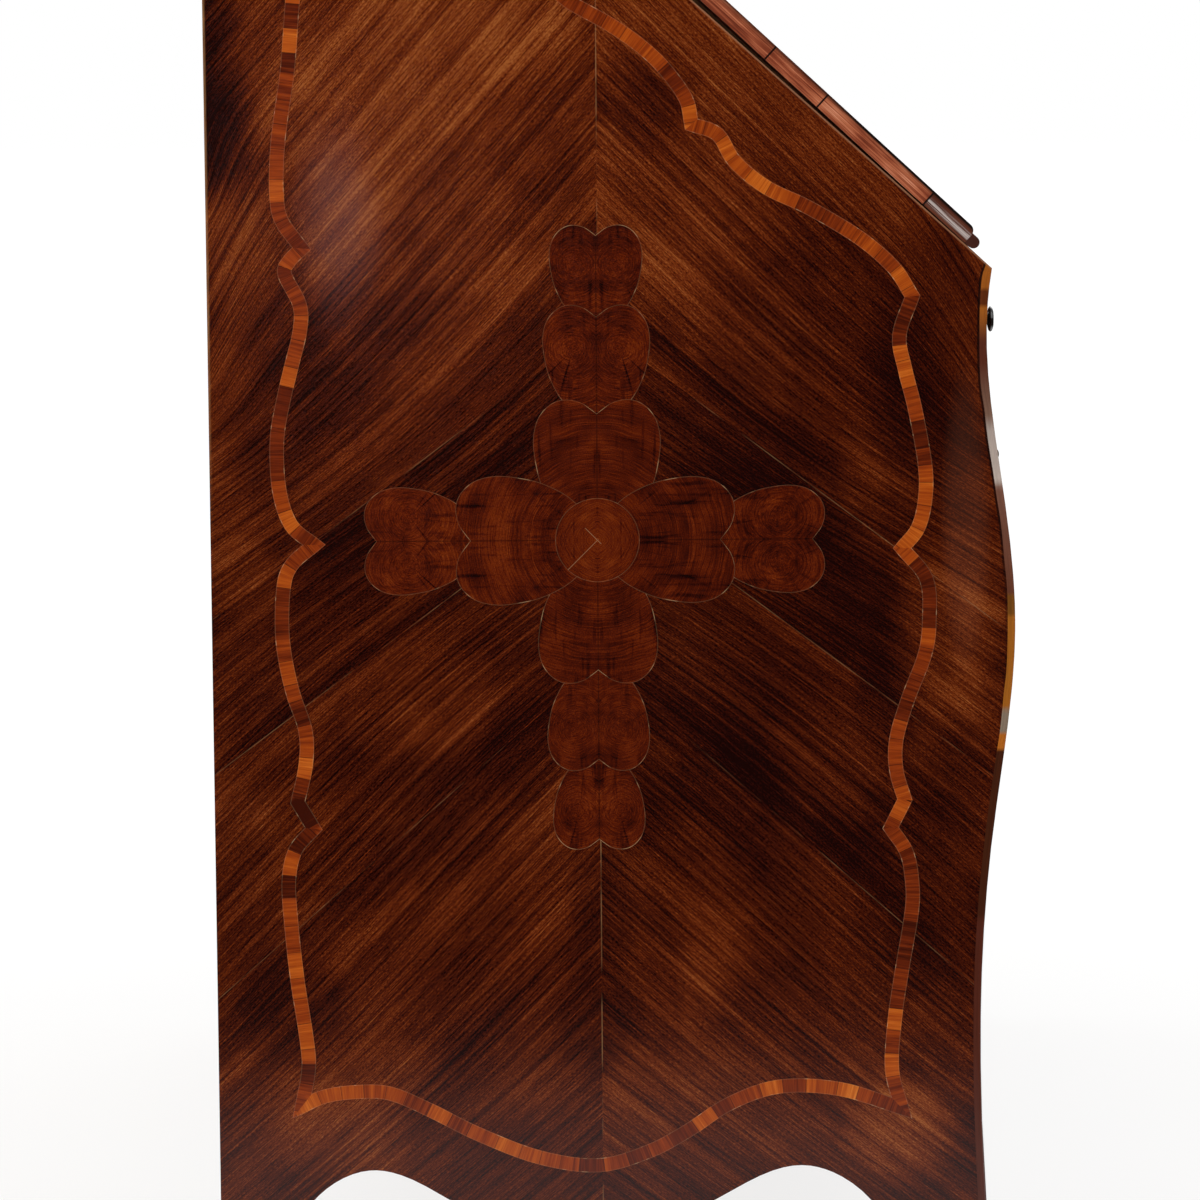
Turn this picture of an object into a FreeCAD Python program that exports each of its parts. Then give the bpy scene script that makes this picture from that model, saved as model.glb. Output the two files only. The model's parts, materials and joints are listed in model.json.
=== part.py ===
import FreeCAD, Part
import math
import os
import re

# A slant-front bureau: three long drawers and a frieze row under a hinged fall that opens onto lopers.
# Millimetres. X runs across the desk, Y from its front to its back, Z up. The origin is on the floor, in
# the middle of the footprint, so the front faces -Y.

Vector = FreeCAD.Vector

SIZES = {
    # Case
    "case_width": 1120.0,
    "case_height": 1030.0,
    "case_depth": 563.0,
    # How much of the front curve's deepest hollow lies behind its belly
    "front_swell": 23.5,
    # Half of what the handles stand out past the belly, so that the origin is in the middle of all
    "origin_shift": 6.5,
    "side_thick": 20.0,
    # Rounding of a side's outer corner along the curved front
    "corner_radius": 2.5,
    "top_thick": 20.0,
    "back_thick": 10.0,
    "back_gap": 0.5,
    # Writing board and the boards under it
    "board_thick": 16.0,
    "nose_drop": 6.0,
    "frieze_opening": 42.0,
    "rail_thick": 14.0,
    "bottom_height": 128.0,
    "bottom_thick": 16.0,
    "rail_depth": 60.0,
    "runner_width": 22.0,
    # Feet and the cut outline under the case
    "arch_cover": 8.0,
    "back_foot_width": 34.0,
    "front_foot_width": 55.0,
    "apron_foot_width": 70.0,
    "block_size": 24.0,
    # Fall
    "fall_ajar": 0.75,
    "fall_inset": 5.0,
    "lip_gap": 0.3,
    "lip_thick": 12.0,
    "lip_start": 20.8,
    "lip_round": 5.0,
    "lip_margin": 1.0,
    "core_margin": 1.0,
    "tongue_gap": 0.3,
    "top_gap": 1.0,
    "bead_radius": 4.3,
    "bead_flat": 4.4,
    # Fall hinges
    "hinge_width": 70.0,
    "knuckle_radius": 4.0,
    "knuckle_gap": 0.3,
    "pin_radius": 1.6,
    "pin_clearance": 0.05,
    "leaf_thick": 2.0,
    "leaf_reach": 30.0,
    # Lopers and the frieze row
    "loper_width": 22.0,
    "loper_gap": 0.5,
    "loper_back_gap": 81.0,
    "loper_rest_gap": 0.3,
    "divider_thick": 12.0,
    "centre_divider": 28.0,
    # Drawers
    "front_thick": 20.0,
    "front_gap": 1.0,
    "slide_gap": 0.3,
    "tray_thick": 12.0,
    "tray_bottom": 8.0,
    "tray_groove": 5.0,
    "tray_lift": 8.0,
    "tray_headroom": 10.0,
    "tray_side_gap": 4.0,
    "tray_back_gap": 15.0,
    "frieze_tray_thick": 8.0,
    "frieze_bottom": 5.0,
    "frieze_groove": 3.0,
    "frieze_lift": 4.0,
    "frieze_headroom": 5.0,
    "frieze_side_gap": 1.5,
    "frieze_top_gap": 2.0,
    # Drawer handles
    "handle_spread": 90.0,
    "bail_radius": 2.6,
    "bail_clearance": 0.06,
    "bail_neck": 30.0,
    "bail_bend": 8.0,
    "bail_drop": 8.0,
    "bail_corner": 14.0,
    "bail_corner_angle": 64.0,
    "bail_pin": 5.0,
    "pivot_reach": 11.0,
    "post_radius": 4.2,
    "post_head": 6.2,
    "post_nose": 5.0,
    "rosette_radius": 14.0,
    "plate_thick": 2.0,
    "plate_gap": 0.3,
    "shank_radius": 3.0,
    "shank_clearance": 0.1,
    "nut_radius": 6.0,
    "nut_thick": 5.0,
    # Locks and escutcheons
    "lock_width": 64.0,
    "lock_height": 46.0,
    "lock_thick": 12.0,
    "bolt_width": 18.0,
    "bolt_thick": 3.5,
    "bolt_length": 24.0,
    "bolt_throw": 8.0,
    "bolt_gap": 0.3,
    "bolt_setback": 1.0,
    "strike_gap": 1.0,
    "key_drop": 28.0,
    "key_radius": 3.2,
    "key_slot": 10.0,
    "key_web": 3.0,
    "escutcheon_width": 24.0,
    "escutcheon_height": 44.0,
    # Turned knobs
    "loper_knob_radius": 9.0,
    "loper_knob_reach": 7.5,
    "frieze_knob_radius": 8.0,
    "frieze_knob_reach": 14.0,
    "letter_knob_radius": 6.0,
    "letter_knob_reach": 11.0,
    "knob_spigot": 10.0,
    "knob_fit": 0.1,
    "knob_seat": 0.5,
    # Fitted interior behind the fall
    "gallery_front_gap": 8.0,
    "gallery_board": 8.0,
    "letter_opening": 60.0,
    "arch_board": 6.0,
    "arch_drop": 42.0,
    "arch_rise": 30.0,
    "arch_setback": 4.0,
    "letter_front": 12.0,
    "letter_wall": 6.0,
    "letter_bottom": 5.0,
    "letter_gap": 0.8,
    "letter_back_gap": 8.0,
    "letter_knob_inset": 95.0,
    # One overrun for every cut that runs out of its piece
    "overrun": 5.0,
}

# Shares of the case's height, depth and width
BOARD_HEIGHT_SHARE = 0.733
TOP_DEPTH_SHARE = 0.4386
HINGE_PLACE_SHARE = 0.375
HANDLE_PLACE_SHARE = 0.232
NICHE_WIDTH_SHARE = 0.196
# How the space left by the rails is shared out, and where the niche's shelf stands in the interior
OPENING_SHARES = {"upper": 0.313, "middle": 0.333, "lower": 0.354}
NICHE_SHELF_SHARE = 0.588
# The front curve from the floor to the tip of the writing board: foot, ankle, waist, rise, belly, fall, neck
# and tip. Shares of the writing board's height, then of the swell behind the belly.
FRONT_SHARES = [
    (0.000, 0.596), (0.125, 0.838), (0.272, 1.000), (0.470, 0.664), (0.669, 0.000), (0.795, 0.370),
    (0.930, 0.872), (1.000, 0.723),
]
# The cut outline under a side, from the back foot to the front foot: shares of the span and of arch_height
SIDE_ARCH_SHARES = [
    (0.000, 0.000), (0.022, 0.417), (0.072, 0.815), (0.157, 0.985), (0.276, 0.812), (0.383, 0.600),
    (0.483, 0.525), (0.583, 0.608), (0.694, 0.804), (0.828, 1.000), (0.928, 0.796), (0.978, 0.417),
    (1.000, 0.000),
]
# Half of the cut outline under the front, from a foot to the middle
APRON_SHARES = [
    (0.000, 0.000), (0.014, 0.430), (0.046, 0.830), (0.100, 0.985), (0.180, 0.860), (0.290, 0.770),
    (0.400, 0.690), (0.500, 0.520),
]
# A turned knob from its collar to its tip, in shares of its reach and of its radius, and its spigot's share
KNOB_SHARES = [
    (0.00, 0.62), (0.14, 0.62), (0.20, 0.42), (0.36, 0.40), (0.50, 0.86), (0.66, 1.00), (0.84, 0.90),
    (0.95, 0.62), (1.00, 0.00),
]
SPIGOT_SHARE = 0.36
# How far the straight feet of a pigeonhole's arch reach in from its sides, as a share of the opening
ARCH_FOOT_SHARE = 0.08
# A hinge's knuckles, outer, middle and outer, as shares of its width from its middle
KNUCKLE_SHARES = (("-1 / 2", "-1 / 6"), ("-1 / 6", "1 / 6"), ("1 / 6", "1 / 2"))
# Counts
HALVINGS = 60
BACK_BOARDS = 4
PIGEONHOLES = 4
ROWS = ("upper", "middle", "lower")
HANDS = {"left": -1, "right": 1}

doc = FreeCAD.newDocument("fall_front_desk")
sheet = doc.addObject("Spreadsheet::Sheet", "sizes")


def put(row, name, number):
    """Writes one named number into a row of the sheet."""
    sheet.set(f"A{row}", name)
    sheet.set(f"B{row}", repr(float(number)))
    sheet.setAlias(f"B{row}", name)


for row, (size_name, number) in enumerate(SIZES.items(), start=1):
    put(row, size_name, number)
doc.recompute()


def size(name):
    """The value of one cell, as a plain number."""
    value = getattr(sheet, name)
    return float(getattr(value, "Value", value))


def derive(**values):
    """Adds sizes that follow from others to the sheet."""
    for name, value in values.items():
        SIZES[name] = value
        put(len(SIZES), name, value)
    doc.recompute()


derive(
    board_height=size("case_height") * BOARD_HEIGHT_SHARE,
    back_y=size("case_depth") / 2 + size("origin_shift"),
    side_inner=size("case_width") / 2 - size("side_thick"),
    side_height=size("case_height") - size("top_thick"),
    hinge_place=size("case_width") * HINGE_PLACE_SHARE,
    handle_place=size("case_width") * HANDLE_PLACE_SHARE,
    niche_width=size("case_width") * NICHE_WIDTH_SHARE,
    arch_height=size("bottom_height") - size("arch_cover"),
    lip_inner=size("fall_inset") + size("lip_gap"),
    fall_thick=size("fall_inset") + size("lip_gap") + size("lip_thick"),
)


def station(height_share, swell_share):
    """A point of the front curve, from its shares of the board's height and of the swell."""
    behind = size("case_depth") - size("front_swell") * swell_share
    return size("back_y") - behind, size("board_height") * height_share


FRONT_STATIONS = [station(*shares) for shares in FRONT_SHARES]
tip_y = FRONT_STATIONS[-1][0]
hinge_depth = size("back_y") - tip_y
# The slope runs from the tip of the writing board to the front edge of the top
slope_run = hinge_depth * (1 - TOP_DEPTH_SHARE)
slant = math.atan((size("case_height") - size("board_height")) / slope_run)
tilt = slant + math.radians(size("fall_ajar"))
derive(
    back_inner=size("back_y") - size("back_thick"),
    pin_y=tip_y + size("fall_inset") / math.sin(slant),
    tilt_angle=math.degrees(tilt),
    niche_shelf_rise=(size("side_height") - size("board_height")) * NICHE_SHELF_SHARE,
    frieze_top=size("board_height") - size("board_thick"),
    front_most=size("back_y") - size("case_depth") - size("overrun"),
    front_back_y=size("back_y") - size("case_depth") + size("front_swell") + size("front_thick"),
)
# Where the two thicknesses of the fall end up the slope, the first under the top and the second flush with it
core_rise = size("side_height") - size("top_gap") - size("board_height") - size("lip_inner") * math.cos(tilt)
lip_rise = size("case_height") - size("board_height") - size("fall_thick") * math.cos(tilt)
derive(
    frieze_floor=size("frieze_top") - size("frieze_opening"),
    core_end=core_rise / math.sin(tilt),
    lip_end=lip_rise / math.sin(tilt),
)
# The long drawers' openings, from the top down, with a rail over each
lower_floor = size("bottom_height") + size("bottom_thick")
free_height = size("frieze_floor") - lower_floor - len(ROWS) * size("rail_thick")
whole = sum(OPENING_SHARES.values())
above = size("frieze_floor")
for row in ROWS:
    top = above - size("rail_thick")
    above = top - free_height * OPENING_SHARES[row] / whole
    derive(**{row + "_top": top, row + "_floor": above})
derive(
    gallery_y=size("pin_y") + (size("side_height") - size("board_height")) / math.tan(tilt)
    + size("gallery_front_gap"),
    divider_x=size("side_inner") - size("loper_width") - 2 * size("loper_gap"),
)


def linked(text):
    """Turns the size names in an expression into references to the sheet."""
    return re.sub(r"[a-z_]+", lambda word: "sizes." + word[0] if word[0] in SIZES else word[0], text)


def bind(thing, prop, text):
    thing.setExpression(prop, linked(text))


def place(thing, x="0", y="0", z="0"):
    """Binds the position of an object to the sheet."""
    for axis, text in zip("xyz", (x, y, z)):
        bind(thing, "Placement.Base." + axis, text)
    return thing


def box(name, x, y, z):
    """A board from low to high along each axis, every limit an expression on the sheet."""
    made = doc.addObject("Part::Box", name)
    for prop, (low, high) in zip(("Length", "Width", "Height"), (x, y, z)):
        bind(made, prop, f"({high}) - ({low})")
    return place(made, x[0], y[0], z[0])


def lean(thing, s, n, x="0"):
    """Places an object in the fall's own frame: s up the slope from the hinge pin, n out through the fall."""
    c, k = "cos(tilt_angle * 1 deg)", "sin(tilt_angle * 1 deg)"
    place(thing, x, f"pin_y + ({s}) * {c} - ({n}) * {k}", f"board_height + ({s}) * {k} + ({n}) * {c}")
    thing.setExpression("Placement.Rotation.Axis.x", "1")
    thing.setExpression("Placement.Rotation.Axis.z", "0")
    bind(thing, "Placement.Rotation.Angle", "tilt_angle * 1 deg")
    return thing


def leaning_box(name, x, s, n):
    made = doc.addObject("Part::Box", name)
    for prop, (low, high) in zip(("Length", "Width", "Height"), (x, s, n)):
        bind(made, prop, f"({high}) - ({low})")
    return lean(made, s[0], n[0], x[0])


def mirrored(sign, near, far):
    """Limits along X from a near to a far distance from the middle, on the side that sign says."""
    return (near, far) if sign > 0 else (f"-({far})", f"-({near})")


def rod(name, radius, x, y, z):
    """A round bar along the one axis that is given as low and high limits."""
    made = doc.addObject("Part::Cylinder", name)
    bind(made, "Radius", radius)
    along = [axis for axis in (x, y, z) if isinstance(axis, tuple)][0]
    bind(made, "Height", f"({along[1]}) - ({along[0]})")
    if isinstance(x, tuple):
        made.Placement.Rotation = FreeCAD.Rotation(Vector(0, 1, 0), 90)
    if isinstance(y, tuple):
        made.Placement.Rotation = FreeCAD.Rotation(Vector(1, 0, 0), -90)
    low = [axis[0] if isinstance(axis, tuple) else axis for axis in (x, y, z)]
    return place(made, *low)


def cut(name, base, *tools):
    """The base with every tool taken out of it."""
    tool = tools[0] if len(tools) == 1 else fuse(name + "_tools", *tools)
    made = doc.addObject("Part::Cut", name)
    made.Base, made.Tool = base, tool
    return made


def fuse(name, *things):
    made = doc.addObject("Part::MultiFuse", name)
    made.Shapes = list(things)
    return made


def common(name, *things):
    made = doc.addObject("Part::MultiCommon", name)
    made.Shapes = list(things)
    return made


def group(name, *things):
    """Separate solids of one kind that share a node."""
    made = doc.addObject("Part::Compound", name)
    made.Links = list(things)
    return made


def sketch_on(body, name, role, edges):
    """A sketch on one of the body's own origin planes."""
    sketch = body.newObject("Sketcher::SketchObject", name)
    plane = [feature for feature in body.Origin.OriginFeatures if feature.Role == role][0]
    sketch.AttachmentSupport = [(plane, "")]
    sketch.MapMode = "FlatFace"
    sketch.addGeometry(edges)
    return sketch


def padded(name, role, edges, length):
    """A body padded from a closed outline, half of the length to each side of the sketch."""
    body = doc.addObject("PartDesign::Body", name)
    sketch = sketch_on(body, name + "_outline", role, edges)
    pad = body.newObject("PartDesign::Pad", name + "_pad")
    pad.Profile = sketch
    pad.Midplane = True
    bind(pad, "Length", length)
    return body


def turned(name, points):
    """A body turned about Y from a profile of (reach along Y, radius) points."""
    body = doc.addObject("PartDesign::Body", name)
    sketch = sketch_on(body, name + "_profile", "YZ_Plane", chain(points))
    turn = body.newObject("PartDesign::Revolution", name + "_turn")
    turn.Profile = sketch
    turn.ReferenceAxis = (sketch, ["H_Axis"])
    turn.Angle = 360
    return body


def chain(points, closed=True):
    """Straight edges from point to point."""
    spots = [Vector(a, b, 0) for a, b in points]
    ends = spots[1:] + spots[:1] if closed else spots[1:]
    return [Part.LineSegment(a, b) for a, b in zip(spots, ends)]


def smooth(points):
    """One smooth curve through the points."""
    curve = Part.BSplineCurve()
    curve.interpolate([Vector(a, b, 0) for a, b in points])
    return curve


front_curve = smooth(FRONT_STATIONS)


def front_at(height):
    """Where the front curve lies at a height, found by halving the curve's own parameter."""
    low, high = front_curve.FirstParameter, front_curve.LastParameter
    for _ in range(HALVINGS):
        middle = (low + high) / 2
        if front_curve.value(middle).y < height:
            low = middle
        else:
            high = middle
    return front_curve.value(low).x


def form_outline(forward):
    """The case below the writing surface seen from the side, moved forward by a plate's thickness."""
    shifted = smooth([(y - forward, z) for y, z in FRONT_STATIONS])
    floor_tip, board_tip = FRONT_STATIONS[0], FRONT_STATIONS[-1]
    rest = chain(
        [
            (board_tip[0] - forward, board_tip[1]),
            (size("back_y"), board_tip[1]),
            (size("back_y"), 0),
            (floor_tip[0] - forward, 0),
        ],
        closed=False,
    )
    return [shifted] + rest


# All three forms are tools: the fronts are cut to the first, and thin plates lie between the other two
front_form = padded("front_form", "YZ_Plane", form_outline(0), "case_width")
seat_form = padded("seat_form", "YZ_Plane", form_outline(size("plate_gap")), "case_width")
plate_form = padded("plate_form", "YZ_Plane", form_outline(size("plate_thick")), "case_width")


def fronted(name, x, z, back="front_back_y"):
    """A board whose front edge follows the front curve."""
    blank = box(name + "_blank", x, ("front_most", back), z)
    return common(name, blank, front_form)


NODES = {}


def node(name, made):
    """Names a finished piece."""
    made.Label = name
    NODES[name] = made
    return made


# Sides, top and back


def side_outline():
    back_y, tip = size("back_y"), FRONT_STATIONS[-1]
    foot_in = back_y - size("back_foot_width")
    front_floor = FRONT_STATIONS[0][0]
    span = foot_in - (front_floor + size("front_foot_width"))
    arch = [(foot_in - span * along, size("arch_height") * up) for along, up in SIDE_ARCH_SHARES]
    slant_top = size("side_height")
    slant_back = tip[0] + (slant_top - tip[1]) / math.tan(slant)
    upper = chain([tip, (slant_back, slant_top), (back_y, slant_top), (back_y, 0), arch[0]], closed=False)
    lower = chain([arch[-1], (front_floor, 0)], closed=False)
    return upper + [smooth(arch)] + lower + [smooth(FRONT_STATIONS)]


def round_corner(board, sign):
    """Rounds the outer corner of a side board down its curved front edge, as polish and wear leave it."""
    doc.recompute()
    pad = board.Tip
    outer = sign * pad.Length.Value / 2
    corners = []
    for number, edge in enumerate(pad.Shape.Edges, start=1):
        outside = all(abs(end.X - outer) < size("plate_gap") for end in edge.Vertexes)
        front = all(end.Y < size("front_back_y") for end in edge.Vertexes)
        if outside and front and isinstance(edge.Curve, Part.BSplineCurve):
            corners.append(f"Edge{number}")
    rounding = board.newObject("PartDesign::Fillet", board.Name + "_corner")
    rounding.Base = (pad, corners)
    bind(rounding, "Radius", "corner_radius")


for hand, sign in HANDS.items():
    side = padded("side_" + hand, "YZ_Plane", side_outline(), "side_thick")
    round_corner(side, sign)
    place(side, x=f"{sign} * (side_inner + side_thick / 2)")
    node("side_" + hand, side)


def top_outline():
    low, high = size("side_height"), size("case_height")
    tip_y, tip_z = FRONT_STATIONS[-1]
    edge = [(tip_y + (z - tip_z) / math.tan(slant), z) for z in (low, high)]
    return chain([edge[0], edge[1], (size("back_y"), high), (size("back_y"), low)])


top_blank = padded("top_blank", "YZ_Plane", top_outline(), "case_width")
# The mortise for the fall's bolt is let into the sloping front edge
top_mortise = leaning_box(
    "top_mortise",
    ("-bolt_width / 2 - strike_gap", "bolt_width / 2 + strike_gap"),
    ("core_end - overrun", "core_end + bolt_throw + strike_gap"),
    ("-fall_inset", "lip_inner"),
)
node("top_board", cut("top_board", top_blank, top_mortise))

backs = []
for number in range(BACK_BOARDS):
    low = f"-side_inner + {number} * 2 * side_inner / {BACK_BOARDS}"
    high = f"-side_inner + {number + 1} * 2 * side_inner / {BACK_BOARDS} - back_gap"
    upright = ("bottom_height", "side_height")
    backs.append(box(f"back_{number}", (low, high), ("back_inner", "back_y"), upright))
node("back_boards", group("back_boards", *backs))


# Hinges of the fall: three knuckles each, the middle one on the fall

HINGES = ("-hinge_place", "0", "hinge_place")
LEFT_THIRD, MIDDLE_THIRD, RIGHT_THIRD = KNUCKLE_SHARES
WHOLE = (LEFT_THIRD[0], RIGHT_THIRD[1])
board_leaves, fall_leaves, hinge_pins, board_pockets, fall_pockets = [], [], [], [], []
for number, centre in enumerate(HINGES):

    def barrel(kind, radius, shares=WHOLE, gap="0"):
        """A bar on this hinge's axis between two shares of the hinge's width, short by a gap at each end."""
        low, high = shares
        ends = (f"{centre} + hinge_width * ({low}) + {gap}", f"{centre} + hinge_width * ({high}) - {gap}")
        return rod(f"{kind}_{number}", radius, ends, "pin_y", "board_height")

    half = (f"{centre} - hinge_width / 2", f"{centre} + hinge_width / 2")
    flat = ("board_height - leaf_thick", "board_height")
    roomy = "knuckle_radius + knuckle_gap"
    # Leaf on the writing board, with its two outer knuckles
    leaf = box(f"board_leaf_{number}", half, ("pin_y", "pin_y + leaf_reach"), flat)
    left = barrel("left_knuckle", "knuckle_radius", LEFT_THIRD)
    right = barrel("right_knuckle", "knuckle_radius", RIGHT_THIRD)
    board_leaves.append(
        cut(
            f"board_hinge_{number}",
            fuse(f"board_hinge_blank_{number}", leaf, left, right),
            barrel("middle_space", roomy, MIDDLE_THIRD),
            barrel("board_bore", "pin_radius"),
        )
    )
    # Leaf on the fall, with the middle knuckle a little shorter than its space
    fall_leaf = leaning_box(f"fall_leaf_{number}", half, ("0", "leaf_reach"), ("0", "leaf_thick"))
    middle = barrel("middle_knuckle", "knuckle_radius", MIDDLE_THIRD, "knuckle_gap")
    fall_leaves.append(
        cut(
            f"fall_hinge_{number}",
            fuse(f"fall_hinge_blank_{number}", fall_leaf, middle),
            barrel("left_space", roomy, LEFT_THIRD),
            barrel("right_space", roomy, RIGHT_THIRD),
            barrel("fall_bore", "pin_radius + pin_clearance"),
        )
    )
    hinge_pins.append(barrel("hinge_pin", "pin_radius"))
    # What the hinge needs cut out of both boards
    board_pockets.append(barrel("board_pocket", roomy))
    board_pockets.append(box(f"board_seat_{number}", half, ("pin_y", "pin_y + leaf_reach"), flat))
    fall_pockets.append(barrel("fall_pocket", roomy))
    fall_pockets.append(leaning_box(f"fall_seat_{number}", half, ("0", "leaf_reach"), ("0", "leaf_thick")))
node("board_hinge_leaves", group("board_hinge_leaves", *board_leaves))
node("fall_hinge_leaves", group("fall_hinge_leaves", *fall_leaves))
node("fall_hinge_pins", group("fall_hinge_pins", *hinge_pins))

# Boards across the case

ACROSS = ("-side_inner", "side_inner")
board_blank = fronted("board_blank", ACROSS, ("frieze_top", "board_height"), "back_inner")
nose = box(
    "nose",
    ACROSS,
    ("front_most", "pin_y"),
    ("board_height - nose_drop", "board_height + overrun"),
)
node("writing_board", cut("writing_board", board_blank, nose, *board_pockets))


def mortise(row):
    """The slot over a long drawer's lock that its bolt is thrown into."""
    return box(
        row + "_mortise",
        ("-bolt_width / 2 - strike_gap", "bolt_width / 2 + strike_gap"),
        (
            "front_back_y - lock_thick / 2 - bolt_thick / 2 - strike_gap",
            "front_back_y - lock_thick / 2 + bolt_thick / 2 + strike_gap",
        ),
        (row + "_top - overrun", row + "_top + bolt_throw"),
    )


frieze_blank = fronted("frieze_blank", ACROSS, ("upper_top", "frieze_floor"), "back_inner")
node("frieze_board", cut("frieze_board", frieze_blank, mortise("upper")))
node("bottom_board", fronted("bottom_board", ACROSS, ("bottom_height", "lower_floor"), "back_inner"))

rails, runners = [], []
for above, below in (("upper", "middle"), ("middle", "lower")):
    level = (below + "_top", above + "_floor")
    blank = fronted(above + "_rail_blank", ACROSS, level, "front_back_y + rail_depth")
    rails.append(cut(above + "_rail", blank, mortise(below)))
    for hand, sign in HANDS.items():
        ends = mirrored(sign, "side_inner - runner_width", "side_inner")
        behind = ("front_back_y + rail_depth", "back_inner")
        runners.append(box(f"{above}_runner_{hand}", ends, behind, level))
node("drawer_rails", group("drawer_rails", *rails))
node("drawer_runners", group("drawer_runners", *runners))

# Apron and corner blocks


def apron_outline():
    half, foot = size("side_inner"), size("apron_foot_width")
    span = 2 * (half - foot)
    right = [(span * along - half + foot, size("arch_height") * up) for along, up in APRON_SHARES]
    left = [(-x, z) for x, z in reversed(right[:-1])]
    top = size("bottom_height")
    frame = [(half - foot, 0), (half, 0), (half, top), (-half, top), (-half, 0), (foot - half, 0)]
    return [smooth(right + left)] + chain(frame, closed=False)


apron_blank = padded("apron_blank", "XZ_Plane", apron_outline(), "2 * case_depth + 2 * overrun")
apron_slab = fronted("apron_slab", ACROSS, ("0", "bottom_height"))
node("apron", common("apron", apron_blank, apron_slab))

blocks = []
for hand, sign in HANDS.items():
    x = mirrored(sign, "side_inner - block_size", "side_inner")
    tall = ("0", "bottom_height")
    blocks.append(box("front_block_" + hand, x, ("front_back_y", "front_back_y + block_size"), tall))
    blocks.append(box("back_block_" + hand, x, ("back_inner - block_size", "back_inner"), tall))
node("foot_blocks", group("foot_blocks", *blocks))


# Knobs


def knob(name, radius, reach, x, y, z):
    """A turned knob with its spigot, its collar on the front at y."""
    r, far, spigot = size(radius), size(reach), size("knob_spigot")
    neck = r * SPIGOT_SHARE
    profile = [(spigot, 0), (spigot, neck), (0, neck)]
    profile += [(-far * along, r * out) for along, out in KNOB_SHARES]
    return place(turned(name, profile), x, f"{y} + knob_seat", z)


def knob_hole(name, radius, x, y, z):
    """The hole for a knob's spigot, with a flat seat let in a little for its collar."""
    share = KNOB_SHARES[0][1]
    front = f"{y} - overrun"
    seat = rod(name + "_seat", f"{radius} * {share} + knob_fit", x, (front, f"{y} + knob_seat"), z)
    end = f"{y} + knob_seat + knob_spigot + knob_fit"
    hole = rod(name, f"{radius} * {SPIGOT_SHARE} + knob_fit", x, (front, end), z)
    return fuse(name + "_cut", seat, hole)


def tray(name, x, z, thick, bottom, groove, lift, back="back_inner - tray_back_gap", front="front_back_y"):
    """Two sides, a back and a bottom let into grooves, each a separate solid."""
    (left, right), (low, high) = x, z
    depth = (front, back)
    panel = (f"{low} + {lift}", f"{low} + {lift} + {bottom}")
    slot_x = (f"{left} + {thick} - {groove}", f"{right} - {thick} + {groove}")
    slot_y = (front, f"{back} - {thick} + {groove}")
    slot = box(name + "_slot", slot_x, slot_y, panel)
    walls = []
    for part, across, along in (
        ("left", (left, f"{left} + {thick}"), depth),
        ("right", (f"{right} - {thick}", right), depth),
        ("back", (f"{left} + {thick}", f"{right} - {thick}"), (f"{back} - {thick}", back)),
    ):
        walls.append(cut(f"{name}_{part}", box(f"{name}_{part}_blank", across, along, z), slot))
    return walls + [box(name + "_floor", slot_x, slot_y, panel)]


# Lopers, the dividers that guide them and the frieze drawers

FRIEZE = ("frieze_floor", "frieze_top")
dividers = [
    fronted("divider_left", ("-divider_x", "-divider_x + divider_thick"), FRIEZE, "back_inner"),
    fronted("divider_middle", ("-centre_divider / 2", "centre_divider / 2"), FRIEZE, "back_inner"),
    fronted("divider_right", ("divider_x - divider_thick", "divider_x"), FRIEZE, "back_inner"),
]
node("loper_dividers", group("loper_dividers", *dividers))

KNOB_HEIGHT = "(frieze_floor + frieze_top) / 2"
knob_y = front_at((size("frieze_floor") + size("frieze_top")) / 2)
derive(knob_y=knob_y)
for hand, sign in HANDS.items():
    near, far = "side_inner - loper_gap", "side_inner - loper_gap - loper_width"
    x = mirrored(sign, far, near)
    middle = f"{sign} * (side_inner - loper_gap - loper_width / 2)"
    z = ("frieze_floor + slide_gap", "board_height - fall_thick - loper_rest_gap")
    blank = fronted("loper_blank_" + hand, x, z, "back_inner - loper_back_gap")
    hole = knob_hole("loper_hole_" + hand, "loper_knob_radius", middle, "knob_y", KNOB_HEIGHT)
    node("loper_" + hand, cut("loper_" + hand, blank, hole))
    name = "loper_knob_" + hand
    node(name, knob(name, "loper_knob_radius", "loper_knob_reach", middle, "knob_y", KNOB_HEIGHT))

for hand, sign in HANDS.items():
    inner = "centre_divider / 2 + front_gap"
    outer = "divider_x - divider_thick - front_gap"
    x = mirrored(sign, inner, outer)
    middle = f"{sign} * ({inner} + {outer}) / 2"
    z = ("frieze_floor + front_gap", "frieze_top - frieze_top_gap")
    blank = fronted("frieze_blank_" + hand, x, z)
    hole = knob_hole("frieze_hole_" + hand, "frieze_knob_radius", middle, "knob_y", KNOB_HEIGHT)
    node("frieze_front_" + hand, cut("frieze_front_" + hand, blank, hole))
    inside = (f"{x[0]} + frieze_side_gap", f"{x[1]} - frieze_side_gap")
    walls = tray(
        "frieze_tray_" + hand,
        inside,
        ("frieze_floor + slide_gap", "frieze_top - frieze_headroom"),
        "frieze_tray_thick",
        "frieze_bottom",
        "frieze_groove",
        "frieze_lift",
    )
    node("frieze_tray_" + hand, group("frieze_tray_" + hand, *walls))
    name = "frieze_knob_" + hand
    node(name, knob(name, "frieze_knob_radius", "frieze_knob_reach", middle, "knob_y", KNOB_HEIGHT))


# Handles of the long drawers


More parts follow.
